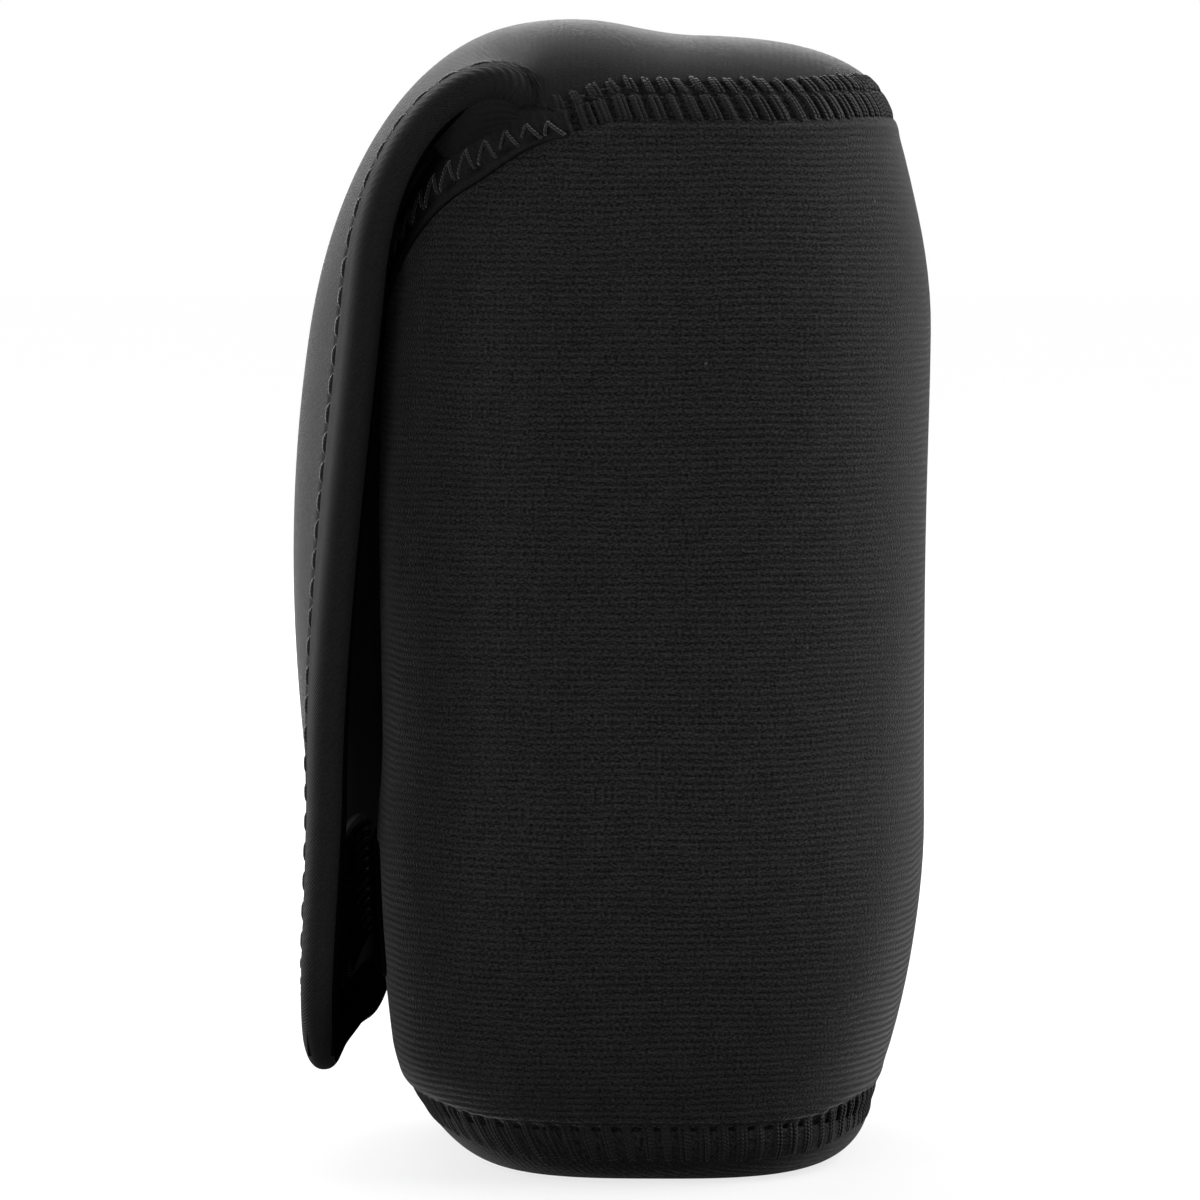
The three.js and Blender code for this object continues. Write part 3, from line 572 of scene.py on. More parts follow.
def shade(tree, colour, factor):
    """A colour made lighter or darker by a factor from the nodes."""
    node = tree.nodes.new("ShaderNodeVectorMath")
    node.operation = "SCALE"
    node.inputs[0].default_value = colour
    tree.links.new(factor, node.inputs["Scale"])
    return node.outputs[0]


def bump(tree, height, distance):
    node = tree.nodes.new("ShaderNodeBump")
    set_inputs(node, {"Strength": 1.0, "Distance": distance})
    tree.links.new(height, node.inputs["Height"])
    return node.outputs[0]


# Reads the painted shade mark that the meshes carry.
def painted_shade_mark(tree):
    node = tree.nodes.new("ShaderNodeAttribute")
    node.attribute_name = "painted_shade"
    return node.outputs["Fac"]


def lint(tree, place):
    """A few pale specks, one for some cells of a cell pattern."""
    cells = tree.nodes.new("ShaderNodeTexVoronoi")
    tree.links.new(place, cells.inputs["Vector"])
    cells.inputs["Scale"].default_value = 0.28
    parts = tree.nodes.new("ShaderNodeSeparateColor")
    tree.links.new(cells.outputs["Color"], parts.inputs[0])
    chosen = calc(tree, "GREATER_THAN", parts.outputs[0], 0.93)
    size = calc(tree, "MULTIPLY", parts.outputs[1], 0.07)
    near = calc(tree, "LESS_THAN", cells.outputs["Distance"], size)
    return calc(tree, "MULTIPLY", chosen, near)


def finish_cloth(tree, shader, tone, relief, roughness, specular, sheen):
    """Links a cloth's tone and relief, and sets how it takes light. sheen is its weight and roughness."""
    looks = {
        "Base Color": shade(tree, *tone),
        "Normal": bump(tree, *relief),
        "Roughness": roughness,
        "Specular IOR Level": specular,
        "Sheen Weight": sheen[0],
        "Sheen Roughness": sheen[1],
        "Sheen Tint": WHITE,
    }
    for name, value in looks.items():
        put(tree, shader.inputs[name], value)


def knit_material(name, colour, ribs, specks, sheen, sheen_roughness):
    """Jersey on neoprene: fine wavy courses made of short stitches, with grain and a little lint."""
    material, tree, shader = new_material(name)
    place, u, v = cloth_place(tree)
    course = weigh(tree, uneven(tree, place, 0.07, 3.0), 1.3, v)
    rib = waves(tree, course, KNIT_COURSE)
    row = calc(tree, "FLOOR", calc(tree, "DIVIDE", course, KNIT_COURSE))
    leg = waves(tree, weigh(tree, row, 0.37 * KNIT_WALE, u), KNIT_WALE)
    grain = uneven(tree, stretched(tree, u, v, 3.0, 4.2), 1.0, 2.0, 0.65)
    crest = calc(tree, "MAXIMUM", rib, 0.0)
    height = weigh(tree, calc(tree, "MULTIPLY", leg, crest), 0.25, rib)
    height = calc(tree, "MULTIPLY", height, 0.6 * ribs)
    height = weigh(tree, grain, 2.2 * specks, height)
    tone = weigh(tree, rib, 0.3 * ribs, 1.0)
    tone = weigh(tree, grain, 6.0 * specks, tone)
    tone = weigh(tree, uneven(tree, place, 0.35), 0.7, tone)
    # painted shade: darker between the seam rungs, by the mesh's mark
    tone = weigh(tree, painted_shade_mark(tree), -0.65, tone)
    tone = calc(tree, "MAXIMUM", tone, 0.12)
    tone = weigh(tree, lint(tree, place), 3.0, tone)
    relief = (height, KNIT_RELIEF)
    finish_cloth(tree, shader, (colour, tone), relief, 0.88, 0.12, (sheen, sheen_roughness))
    return material


def lining_material(name, colour):
    """The inner jersey: finer, flatter courses; its colour is set near black as painted shade."""
    material, tree, shader = new_material(name)
    place, u, v = cloth_place(tree)
    rib, leg = waves(tree, v, KNIT_WALE), waves(tree, u, KNIT_WALE)
    grain = uneven(tree, place, 2.5, 3.0)
    height = calc(tree, "ADD", calc(tree, "MULTIPLY", rib, leg), grain)
    tone = weigh(tree, grain, 0.6, 1.0)
    finish_cloth(tree, shader, (colour, tone), (height, FINE_RELIEF), 0.95, 0.05, (0.01, 0.5))
    return material


def tape_material(name, colour, sheen, specular):
    """Smooth stretch binding: a fine diagonal twill, nearly matt."""
    material, tree, shader = new_material(name)
    place, u, v = cloth_place(tree)
    twill = waves(tree, calc(tree, "ADD", u, calc(tree, "MULTIPLY", v, 0.8)), 0.42)
    grain = uneven(tree, place, 3.0, 3.0, 0.6)
    height = weigh(tree, grain, 1.6, calc(tree, "MULTIPLY", twill, 0.5))
    tone = weigh(tree, grain, 1.8, 1.0)
    tone = weigh(tree, uneven(tree, place, 0.5), 0.3, tone)
    # painted shade: darker at the needle holes, by the mesh's mark
    tone = weigh(tree, painted_shade_mark(tree), -0.5, tone)
    tone = calc(tree, "MAXIMUM", tone, 0.05)
    rough = weigh(tree, grain, 0.3, 0.7)
    finish_cloth(tree, shader, (colour, tone), (height, FINE_RELIEF), rough, specular, (sheen, 0.3))
    return material


def thread_material(name, colour, sheen):
    """Spun thread: strands that wind round it, and stray tone from stitch to stitch."""
    material, tree, shader = new_material(name)
    place, u, v = cloth_place(tree)
    twist = waves(tree, weigh(tree, u, 0.9, v), 0.45)
    tone = weigh(tree, twist, 0.2, 1.0)
    tone = weigh(tree, uneven(tree, place, 3.5), 0.8, tone)
    finish_cloth(tree, shader, (colour, tone), (twist, FINE_RELIEF), 0.6, 0.15, (sheen, 0.4))
    return material


def plain_material(name, colour, roughness, grain_scale, sheen):
    """Moulded or brushed tape: grain in its tone and roughness."""
    material, tree, shader = new_material(name)
    grain = uneven(tree, cloth_place(tree)[0], grain_scale, 3.0)
    tone = weigh(tree, grain, 0.7, 1.0)
    rough = weigh(tree, grain, 0.3, roughness)
    finish_cloth(tree, shader, (colour, tone), (grain, 0.00005), rough, 0.02, (sheen, 0.5))
    return material


KNIT = knit_material("neoprene_knit", (0.0140, 0.0140, 0.0145), 1.0, 1.0, 0.29, 0.24)
# Crown and flap: smoother courses and more sheen, and a colour darker than the wall's knit as painted shade
KNIT_SMOOTH_SHADED = knit_material("neoprene_crown_shaded", (0.0100, 0.0100, 0.0103), 0.2, 0.5, 0.95, 0.08)
# Base: the same knit in a darker colour, painted shade for its underside
KNIT_BASE_SHADED = knit_material("neoprene_base_shaded", (0.0095, 0.0095, 0.0099), 0.4, 1.0, 0.16, 0.26)
# Lining: a near-black colour, painted shade for the shaded inside faces and the gap under the flap
LINING_SHADED = lining_material("neoprene_lining_shaded", (0.0032, 0.0032, 0.0034))
TAPE = tape_material("binding_tape", (0.0125, 0.0125, 0.0129), 0.015, 0.03)
# The tape's back: the same tape darkened, painted shade for its shaded inner side
TAPE_BACK_SHADED = tape_material("binding_tape_back_shaded", (0.0020, 0.0020, 0.0021), 0.0, 0.0)
THREAD = thread_material("sewing_thread", (0.0105, 0.0105, 0.0109), 0.06)
# Topstitch thread: the same thread made lighter, a painted highlight where the stitches catch light
THREAD_TOP_HIGHLIGHT = thread_material("topstitch_thread_highlight", (0.0185, 0.0185, 0.0191), 0.3)
# Base seam thread: the same thread darkened, painted shade low on the sleeve
THREAD_BASE_SHADED = thread_material("base_seam_thread_shaded", (0.0080, 0.0080, 0.0083), 0.06)
LOOP = plain_material("loop_pile", (0.0035, 0.0035, 0.0037), 0.9, 2.0, 0.02)
HOOK = plain_material("hook_nylon", (0.0035, 0.0035, 0.0037), 0.75, 1.5, 0.0)


def dress(obj, slot, *materials):
    for material in materials:
        obj.data.materials.append(material)
    return obj


def sew(name, node, body, lines, normals, radius, material):
    thread = dress(tube_object(name, lines, normals, radius), "thread", material)
    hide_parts(node)
    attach(thread, body)


# Flat seams
crown_rungs = round(BACK_LENGTH / CROWN_STITCH_PITCH)
CROWN_PITCH = BACK_LENGTH / crown_rungs
base_rungs = round(RING_LENGTH / BASE_STITCH_PITCH)
BASE_PITCH = RING_LENGTH / base_rungs


def seam_relief(length, height, pitch, slant):
    """How far the cloth is drawn in by a flat seam, and how much of that lies between two rungs."""
    band = smooth_step((SEAM_BAND - np.abs(height)) / 0.9)
    puff = bell(np.abs(height) - SEAM_PUFF_PLACE, 0.9)
    gaps = (0.5 - 0.5 * np.cos(FULL_TURN * ((length + slant * height) / pitch))) * band
    return -SEAM_SINK * band - GAP_SINK * gaps + SEAM_PUFF * puff, gaps


def seam_strands(lengths, low, high, slant, surface, lift, spread, wobble):
    """Slanted strands that cross a seam, three beside each other in each rung."""
    count = len(lengths)
    share = np.linspace(0, 1, 9)
    rise = lift * (1 - from_middle(share) ** 3) - 0.42 * from_middle(share) ** 5
    lines, ups = [], []
    for side in (-1, 0, 1):
        start = lengths + side * spread + rng.normal(0, wobble, count)
        bottom = low + rng.normal(0, wobble, count)
        top = high + rng.normal(0, wobble, count)
        height = bottom[:, None] + (top - bottom)[:, None] * share
        points, normals = surface(start[:, None] - slant * height, height)
        high_in_middle = 0.08 * (side == 0)  # the middle strand of a rung lies on the other two
        lines.append(points + normals * (rise + high_in_middle)[None, :, None])
        ups.append(normals)
    return np.concatenate(lines), np.concatenate(ups)


def around_surface(joint):
    """Surface beside a seam that runs round the sleeve, by length along it and height above it."""

    def surface(along, height):
        angle = angle_at(along)
        z = joint(along) + height
        points = outside_point(angle, z)
        small = 0.05
        up = outside_point(angle, z + small) - outside_point(angle, z - small)
        round_it = outside_point(angle_at(along + small), z) - outside_point(angle_at(along - small), z)
        return points, unit(np.cross(round_it, up))

    return surface


# Tube
WALL_SWELLS = ((0.16, 2, 0.055, 0.0), (0.12, 5, -0.08, 1.0), (0.1, 3, 0.13, 2.0))  # size, turns, climb, start


def wall_waves(angle, z):
    """Slight, slow unevenness of a stuffed tube, with a shallow waist."""
    swell = sum(size * np.sin(turns * angle + climb * z + start) for size, turns, climb, start in WALL_SWELLS)
    back = smooth_step(0.5 + np.sin(angle))
    waist = -0.5 * back * bell(z - 66, 24)
    full = (1 - back) * (1.2 - 0.8 * smooth_step((z - 36) / 14)) * smooth_step((104 - z) / 16)
    ends = smooth_step((z - BASE_SEAM_HEIGHT) / 8) * smooth_step((CROWN_SEAM_HEIGHT - 3 - z) / 12)
    return (swell + waist + full) * ends


def tube_heights(bottom, top):
    """Heights of the tube's rows: close together near both rims, wider apart between them."""
    fine = np.linspace(0, 10.0, 34)
    share = np.linspace(0, 1, 46)[1:-1]
    low = bottom[None] + fine[:, None]
    high = top[None] - fine[::-1][:, None]
    between = low[-1][None] + (high[0] - low[-1])[None] * share[:, None]
    return np.concatenate([low, between, high])


def tube_relief(lengths, angles, z, on_back, from_corner):
    """How far seams and hems move the tube's face, and how much of it lies between two rungs."""
    crown_seam, base_seam = crown_seam_height(lengths), base_seam_height(lengths)
    along = np.broadcast_to(lengths, z.shape)
    above = z - crown_seam[None]
    crown_relief, crown_gaps = seam_relief(along, above, CROWN_PITCH, CROWN_SLANT)
    base_relief, base_gaps = seam_relief(along, z - base_seam[None], BASE_PITCH, BASE_SLANT)
    across = plan_point(angles, inset_at(np.clip(z, BASE_SEAM_HEIGHT, CROWN_SEAM_HEIGHT)), z)[..., 0]
    back_relief, back_gaps = seam_relief(z, across, CROWN_STITCH_PITCH, CROWN_SLANT)
    upright = smooth_step((z - BACK_SEAM_LOW + 1) / 2) * smooth_step((BACK_SEAM_HIGH + 1.5 - z) / 2)
    upright = upright * (np.sin(angles) > 0.5)
    near_crown = np.broadcast_to(smooth_step(from_corner / 3) * on_back, z.shape)
    relief = crown_relief * near_crown + base_relief + back_relief * upright
    gaps = crown_gaps * near_crown + base_gaps + back_gaps * upright
    lapped = np.maximum(np.where(on_back[None], above, -1), base_seam[None] - z)
    over_crown = smooth_step((z - CROWN_SEAM_HEIGHT + 1) / 2) * on_back
    over_panel = over_crown + smooth_step(base_seam[None] + 0.5 - z)
    hem = 0.1 * over_panel - 1.3 * smooth_step((lapped - SEAM_LAP + 1.2) / 1.1)
    return relief + hem, gaps


def tube_inside(lengths, angle):
    low = BASE_SEAM_HEIGHT + 0.3
    z = low + (mouth_height(lengths)[None] - 0.3 - low) * np.linspace(0, 1, 24)[:, None]
    angles, inset = np.broadcast_to(angle, z.shape), inset_at(z)
    points = plan_point(angles, inset, z) - NEOPRENE * plan_normal(angles, inset)
    return points, np.stack([np.broadcast_to(lengths, z.shape), z], -1)


def build_tube():
    columns = 1024
    lengths = np.arange(columns) * RING_LENGTH / columns
    angle = angle_at(lengths)
    on_back = lengths < BACK_LENGTH
    from_corner = np.minimum(lengths, BACK_LENGTH - lengths)
    lap = np.where(on_back, SEAM_LAP * smooth_step(from_corner / 4), 0)
    top = np.where(on_back, crown_seam_height(lengths) + lap, mouth_height(lengths))
    z = tube_heights(base_seam_height(lengths) - SEAM_LAP + 0.4, top)
    angles = np.broadcast_to(angle, z.shape)
    points = outside_point(angles, z)
    relief, gaps = tube_relief(lengths, angles, z, on_back, from_corner)
    move = relief + wall_waves(angles, z)
    outer = points + grid_normals(points, True) * move[..., None]
    inner, inner_uv = tube_inside(lengths, angle)
    uv = (np.stack([np.broadcast_to(lengths, z.shape), z], -1), inner_uv)
    # gaps * 0.9 is painted shade between the rungs of the seams
    obj = shell_object("tube_cloth", outer, inner, True, uv, gaps * 0.9, RING_LENGTH)
    dress(obj, "neoprene", KNIT, LINING_SHADED)
    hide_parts("body_wrap")
    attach(obj, "sleeve")


# Base
def base_rings(radius):
    """Rings from the middle of the base out to its rim and up round its bend."""
    columns, flat_rows = 320, 18
    angle = angle_at(np.arange(columns) * RING_LENGTH / columns)
    centre = BASE_DRAW_IN + BASE_SEAM_HEIGHT
    bend = []
    for t in np.linspace(0, QUARTER_TURN, 22):
        height = BASE_SEAM_HEIGHT - radius * math.cos(t)
        bend.append(plan_point(angle, centre - radius * math.sin(t), height))
    rim = bend[0]
    shares = np.linspace(0.02, 1, flat_rows)[:-1]
    floor = [np.stack([rim[:, 0] * s, rim[:, 1] * s, rim[:, 2]], -1) for s in shares]
    return np.array(floor + bend)


def build_base():
    outer = base_rings(BASE_SEAM_HEIGHT)
    inner = base_rings(BASE_SEAM_HEIGHT - NEOPRENE)
    uv = (outer[..., :2], inner[..., :2])
    obj = shell_object("base_cloth", outer[:, ::-1], inner[:, ::-1], True, uv)
    dress(obj, "neoprene", KNIT_BASE_SHADED, LINING_SHADED)
    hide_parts("base_panel")
    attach(obj, "sleeve")




# Lid
def lid_rows():
    """Rows from the back seam to the tip, and how many of them lie above the division."""
    crown = np.linspace(-0.997, 0, 110)
    upper = np.linspace(0, V_SPLIT, 170)[1:]
    lower = np.linspace(V_SPLIT, V_CORNER, 70)[1:]
    corner = 2 - (TAB_CORNER_RADIUS / TAB_LENGTH) * (1 - np.sin(np.linspace(0, QUARTER_TURN, 26)[1:]))
    corner = np.unique(np.minimum(corner, 2 - (TIP_TRIM + 0.4) / TAB_LENGTH))
    return np.concatenate([crown, upper, lower, corner]), len(crown) + len(upper)


def round_fold(points, v):
    """Takes the sharp break out of the sheet along the fold, by averaging over the rows beside it."""
    near = bell(v, 0.07)[1:-1, None, None]
    for _ in range(60):
        between = (points[2:] + points[:-2]) / 2
        points[1:-1] += 0.5 * near * (between - points[1:-1])
    return points


def lid_tuck(points, v):
    """1 where the crown lies under the tube's lap in the seam, and 0 where it shows."""
    plan_x = signed_power(points[..., 0] / SEAM_HALF_WIDTH, PLAN_POWER / 2)
    plan_y = signed_power(points[..., 1] / SEAM_HALF_DEPTH, PLAN_POWER / 2)
    turn = np.mod(np.arctan2(plan_y, plan_x) + CORNER_ANGLE, FULL_TURN) - CORNER_ANGLE
    under = crown_seam_height(length_at(turn)) + SEAM_LAP - 0.4 - points[..., 2]
    return smooth_step(under) * (v < 0) * smooth_step(-v / 0.06)


def lid_sheet():
    """Outer and inner grid of the whole lid, with its normals, cloth coordinates and division."""
    v, split = lid_rows()
    grid_u, grid_v = np.meshgrid(np.linspace(-1, 1, 181), v)
    outer = round_fold(lid_point(grid_u, grid_v), v)
    drawn = -grid_normals(outer, False)
    beside = smooth_step(bell(grid_v, 0.1) * 2)[..., None]
    normals = lid_normal(grid_u, grid_v)
    normals = unit(normals + (drawn - normals) * beside)
    inner = outer - NEOPRENE * normals
    outer = outer - normals * lid_tuck(outer, grid_v)[..., None]
    sewn = grid_v <= CUP_BLEND / 2
    inner[..., 2] = np.where(sewn, np.maximum(inner[..., 2], CROWN_SEAM_HEIGHT), inner[..., 2])
    middle = grid_u.shape[1] // 2
    run = run_along(outer[:, middle])
    wide = run_along(outer)
    wide -= wide[:, middle : middle + 1]
    uv = np.stack([wide, np.broadcast_to(run[:, None], wide.shape)], -1)
    return outer, inner, normals, uv, run, split


def build_lid():
    outer, inner, normals, uv, run, split = lid_sheet()
    upper = ("lid_cloth_upper", slice(0, split), 1.1 * FOLD_HALF_WIDTH)
    lower = ("lid_cloth_lower", slice(split - 1, None), 1.02 * FLAP_HALF_WIDTH)
    for name, part, half_width in (upper, lower):
        flip = (part, slice(None, None, -1))
        obj = shell_object(name, outer[flip], inner[flip], False, (uv[flip], uv[flip]))
        both = np.concatenate([normals[flip].reshape(-1, 3), -normals[flip].reshape(-1, 3)])
        obj.data.normals_split_custom_set_from_vertices(both.tolist())
        dress(obj, "neoprene", KNIT_SMOOTH_SHADED, LINING_SHADED)
        if name == "lid_cloth_upper":
            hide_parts("crown_panel", "flap_panel")
            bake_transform(obj)
        else:
            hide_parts("tab_panel")
            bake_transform(obj)


# Binding tape
def tape_profile():
    """The tape's section: distance out from the panel's edge and height above its outer face."""
    rim = -BINDING_COVER
    margin = np.array([(rim, 0.05), (rim, 0.5 * TAPE_FACE), (rim + 0.12, 0.88 * TAPE_FACE)])
    face = np.stack([np.linspace(rim + 0.4, -TAPE_ROUND, 18), np.full(18, TAPE_FACE)], -1)
    turn = np.linspace(QUARTER_TURN, -QUARTER_TURN, 26)[1:-1]
    half = NEOPRENE / 2 + TAPE_FACE
    nose_out = (BINDING_NOSE + TAPE_ROUND) * np.cos(turn) ** NOSE_POWER - TAPE_ROUND
    nose_up = -NEOPRENE / 2 + half * signed_power(np.sin(turn), NOSE_POWER)
    nose = np.stack([nose_out, nose_up], -1)
    under = np.stack([face[::-1, 0], -NEOPRENE - face[::-1, 1]], -1)
    back = np.stack([margin[::-1, 0], -NEOPRENE - margin[::-1, 1]], -1)
    inside = np.array([(0.1, -NEOPRENE - 0.02), (0.1, 0.02)])
    return np.concatenate([margin, face, nose, under, back, inside])


PROFILE = tape_profile()
PROFILE_LENGTH = run_along(PROFILE)
STITCH_OUT = TOPSTITCH_MARGIN - BINDING_COVER
WRINKLE_LENGTH = 1.15


def tape_relief(out, up, run, pitch, pucker):
    """The tape sinks along its topstitch, most at each needle hole, and wrinkles where it is gathered. The
    second value is painted shade at each needle hole.
    """
    on_face = np.where((up > 0.6 * TAPE_FACE) | (up < -NEOPRENE - 0.6 * TAPE_FACE), 1.0, 0.0)
    hole = 0.5 + 0.5 * np.cos(FULL_TURN * run / pitch)
    line = bell(out - STITCH_OUT, 0.55)
    puff = bell(out - STITCH_OUT - 1.5, 0.9)
    sink = -0.22 * line * (0.55 + 0.45 * hole) + 0.1 * puff * (0.6 - 0.4 * hole)
    ripple = np.sin(FULL_TURN * (run / WRINKLE_LENGTH + 0.35 * out))
    wrinkle = pucker * 0.16 * ripple * bell(out + 2, 3)
    return sink * on_face + wrinkle, line * hole * on_face


def tape_section(cover, sink):
    """The section at each station: how far it covers the panel, and how far it rises from it."""
    out, up = PROFILE[None, :, 0], PROFILE[None, :, 1]
    cover, sink = cover[:, None], sink[:, None]
    wide = np.where(out < 0, out * cover, out * sink)
    middle = np.clip(up, -NEOPRENE, 0)
    return wide, middle + (up - middle) * sink


def tape_surface(place, run, pitch, pucker, cover, sink):
    """Points, normals, cloth coordinates and painted shade marks of a length of tape."""
    out, up, run = PROFILE[None, :, 0], PROFILE[None, :, 1], run[:, None]
    relief, shade_marks = tape_relief(out, up, run, pitch, pucker[:, None])
    base = place(*tape_section(cover, sink))
    points = base + ring_normals(base) * (relief * sink[:, None])[..., None]
    uv = np.stack(np.broadcast_arrays(PROFILE_LENGTH, run), -1)
    return points, ring_normals(points), uv, shade_marks


def ring_normals(points):
    towards = np.gradient(points, axis=0)
    round_it = np.roll(points, -1, 1) - np.roll(points, 1, 1)
    return unit(np.cross(towards, round_it))


def tape_object(name, points, normals, uv, shade_marks):
    count, size = points.shape[:2]
    faces = grid_faces(count, size, True)[:, ::-1].tolist()
    faces += [list(range(size)), list(range((count - 1) * size, count * size))[::-1]]
    # faces on the tape's back get the painted shade copy of the tape
    shaded_faces = np.append(np.tile(PROFILE[:, 1] < -0.95 * NEOPRENE, count - 1), [False, False])
    obj = make_mesh(name, points.reshape(-1, 3), faces, uv.reshape(-1, 2), shade_marks.ravel(), shaded_faces)
    obj.data.normals_split_custom_set_from_vertices(normals.reshape(-1, 3).tolist())
    return dress(obj, "binding_tape", TAPE, TAPE_BACK_SHADED)


def flap_edge():
    """Stations round the flap: right side, tip, left side."""
    start = np.linspace(0.0, 0.14, 70)
    upper = np.linspace(0.14, V_SPLIT, 250)[1:]
    straight = np.linspace(V_SPLIT, V_CORNER, 60)[1:]
    corner = 2 - (2 - V_CORNER) * (1 - np.sin(np.linspace(0, QUARTER_TURN, 40)[1:]))
    down = np.concatenate([start, upper, straight, corner])
    across = np.linspace(1, -1, 90)[1:-1]
    u = np.concatenate([np.ones_like(down), across_to_u(across), -np.ones_like(down)])
    v = np.concatenate([down, np.full_like(across, 2), down[::-1]])
    return u, v, len(start) + len(upper)


def flap_place(u, v):
    """Tape on the flap: along the sides it follows the cupped panel, round the tip it lies level."""
    step = 0.1
    side = np.where(u < 0, -1.0, 1.0)
    edge = lid_point(u, v)
    within = lid_point(side * across_to_u(1 - step), v)
    sideways = unit(edge - within)
    reach = np.maximum(np.linalg.norm(edge - within, axis=-1) / step, 8)
    normals = lid_normal(u, v)
    level = unit(np.cross(normals, unit(np.gradient(edge, axis=0))))
    round_tip = smooth_step((v - V_CORNER + 0.25) / 0.2)[:, None, None]
    at_tip = smooth_step((v - V_CORNER) / (2 - V_CORNER))[:, None]
    stretch = 1 + (TIP_NOSE / BINDING_NOSE - 1) * at_tip

    def place(out, up):
        inwards = side[:, None] * across_to_u(1 + np.minimum(out, 0) / reach[:, None])
        rows = np.broadcast_to(v[:, None], out.shape)
        cupped = lid_point(inwards, rows) + sideways[:, None] * np.maximum(out, 0)[..., None]
        cupped = cupped + lid_normal(inwards, rows) * up[..., None]
        long_nose = np.where(out > 0, out * stretch, out) - TIP_TRIM * at_tip
        flat = edge[:, None] + level[:, None] * long_nose[..., None] + normals[:, None] * up[..., None]
        return cupped + (flat - cupped) * round_tip

    return place


def at_stations(place, count, out, up):
    """One point at each station of a tape."""
    return place(np.full((count, 1), out), np.full((count, 1), up))[:, 0]


def dashes(place, run, pitch, out, up):
    """Topstitch: a strand for each stitch, dipping into the tape at both ends."""
    share = np.linspace(0, 1, 8)
    middle = (np.arange(int(round(run[-1] / pitch))) + 0.5) * pitch
    at = middle[:, None] + (share - 0.5) * TOPSTITCH_SHARE * pitch
    index = np.interp(at, run, np.arange(len(run)))
    base = at_stations(place, len(run), out, up)
    rising = at_stations(place, len(run), out, up + 0.5) - base
    low = np.floor(index).astype(int)
    high = np.minimum(low + 1, len(run) - 1)
    part = (index - low)[..., None]
    points = base[low] * (1 - part) + base[high] * part
    normals = unit(rising[low] * (1 - part) + rising[high] * part)
    rise = 0.12 - 0.42 * from_middle(share) ** 4
    return points + normals * rise[None, :, None], normals, middle


def flap_gathers(from_fold, corner):
    """How much the tape is gathered: at the fold, a little below it, and at the tip's corners."""
    at_fold = 1.2 * bell(from_fold, 10) + 0.25 * bell(from_fold - 24, 12)
    return at_fold + 0.3 * bell(from_fold - corner, 9)


def build_flap_tapes():
    u, v, split = flap_edge()
    run = run_along(lid_point(u, v))
    from_fold = np.minimum(run, run[-1] - run)
    pitch = run[-1] / round(run[-1] / TOPSTITCH_PITCH)
    corner = run[split] + (V_CORNER + 2) / 2 * TAB_LENGTH - V_SPLIT * TAB_LENGTH
    begin = np.clip(from_fold / TAPE_START, 0, 1)
    cover = 0.15 + 0.85 * np.sqrt(1 - (1 - begin) ** 2)
    sink = 0.1 + 0.9 * smooth_step(from_fold / (0.6 * TAPE_START))
    place = flap_place(u, v)
    whole = tape_surface(place, run, pitch, flap_gathers(from_fold, corner), cover, sink)
    lines, ups, middle = dashes(place, run, pitch, STITCH_OUT, TAPE_FACE - 0.1)
    ends = (TAPE_START, run[split - 1], run[-split], run[-1] - TAPE_START)
    parts = (
        ("flap", "_right", slice(0, split), (middle > ends[0]) & (middle <= ends[1])),
        ("tab", "", slice(split - 1, len(run) - split + 1), (middle > ends[1]) & (middle <= ends[2])),
        ("flap", "_left", slice(len(run) - split, None), (middle > ends[2]) & (middle < ends[3])),
    )
    for kind, end, part, mine in parts:
        tape = tape_object(f"{kind}_tape{end}", *(field[part] for field in whole))
        thread = tube_object(f"{kind}_thread{end}", lines[mine], ups[mine], THREAD_RADIUS)
        dress(thread, "thread", THREAD_TOP_HIGHLIGHT)
        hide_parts(f"{kind}_binding{end}")
        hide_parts(f"{kind}_topstitch{end}")
        for obj in (tape, thread):
            if kind == "flap":
                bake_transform(obj)
            else:
                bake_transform(obj)
    return run, place


# Mouth
def mouth_place(lengths):
    small = 0.4
    angle = angle_at(lengths)
    top = mouth_height(lengths)
    slope = (mouth_height(lengths + small) - mouth_height(lengths - small)) / (2 * small)
    stretch = np.sqrt(1 + slope**2)

    def place(out, up):
        height = top[:, None] + out * stretch[:, None]
        inset = inset_at(np.minimum(height, top[:, None]))
        angles = np.broadcast_to(angle[:, None], out.shape)
        return plan_point(angles, inset, height) + plan_normal(angles, inset) * up[..., None]

    return place


def build_mouth_tape():
    past = 3  # the tape goes on under the seam beyond each corner
    lengths = np.linspace(BACK_LENGTH - past, RING_LENGTH + past, 460)
    run = lengths - lengths[0]
    from_end = np.minimum(run, run[-1] - run)
    gathered = 0.9 * bell(from_end - past, 8)
    cover = 0.42 + 0.58 * smooth_step(from_end / 11)
    sink = 0.15 + 0.85 * smooth_step(from_end / 5)
    surface = tape_surface(mouth_place(lengths), run, TOPSTITCH_PITCH, gathered, cover, sink)
    tape = tape_object("mouth_tape", *surface)
    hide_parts("mouth_binding")
    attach(tape, "sleeve")


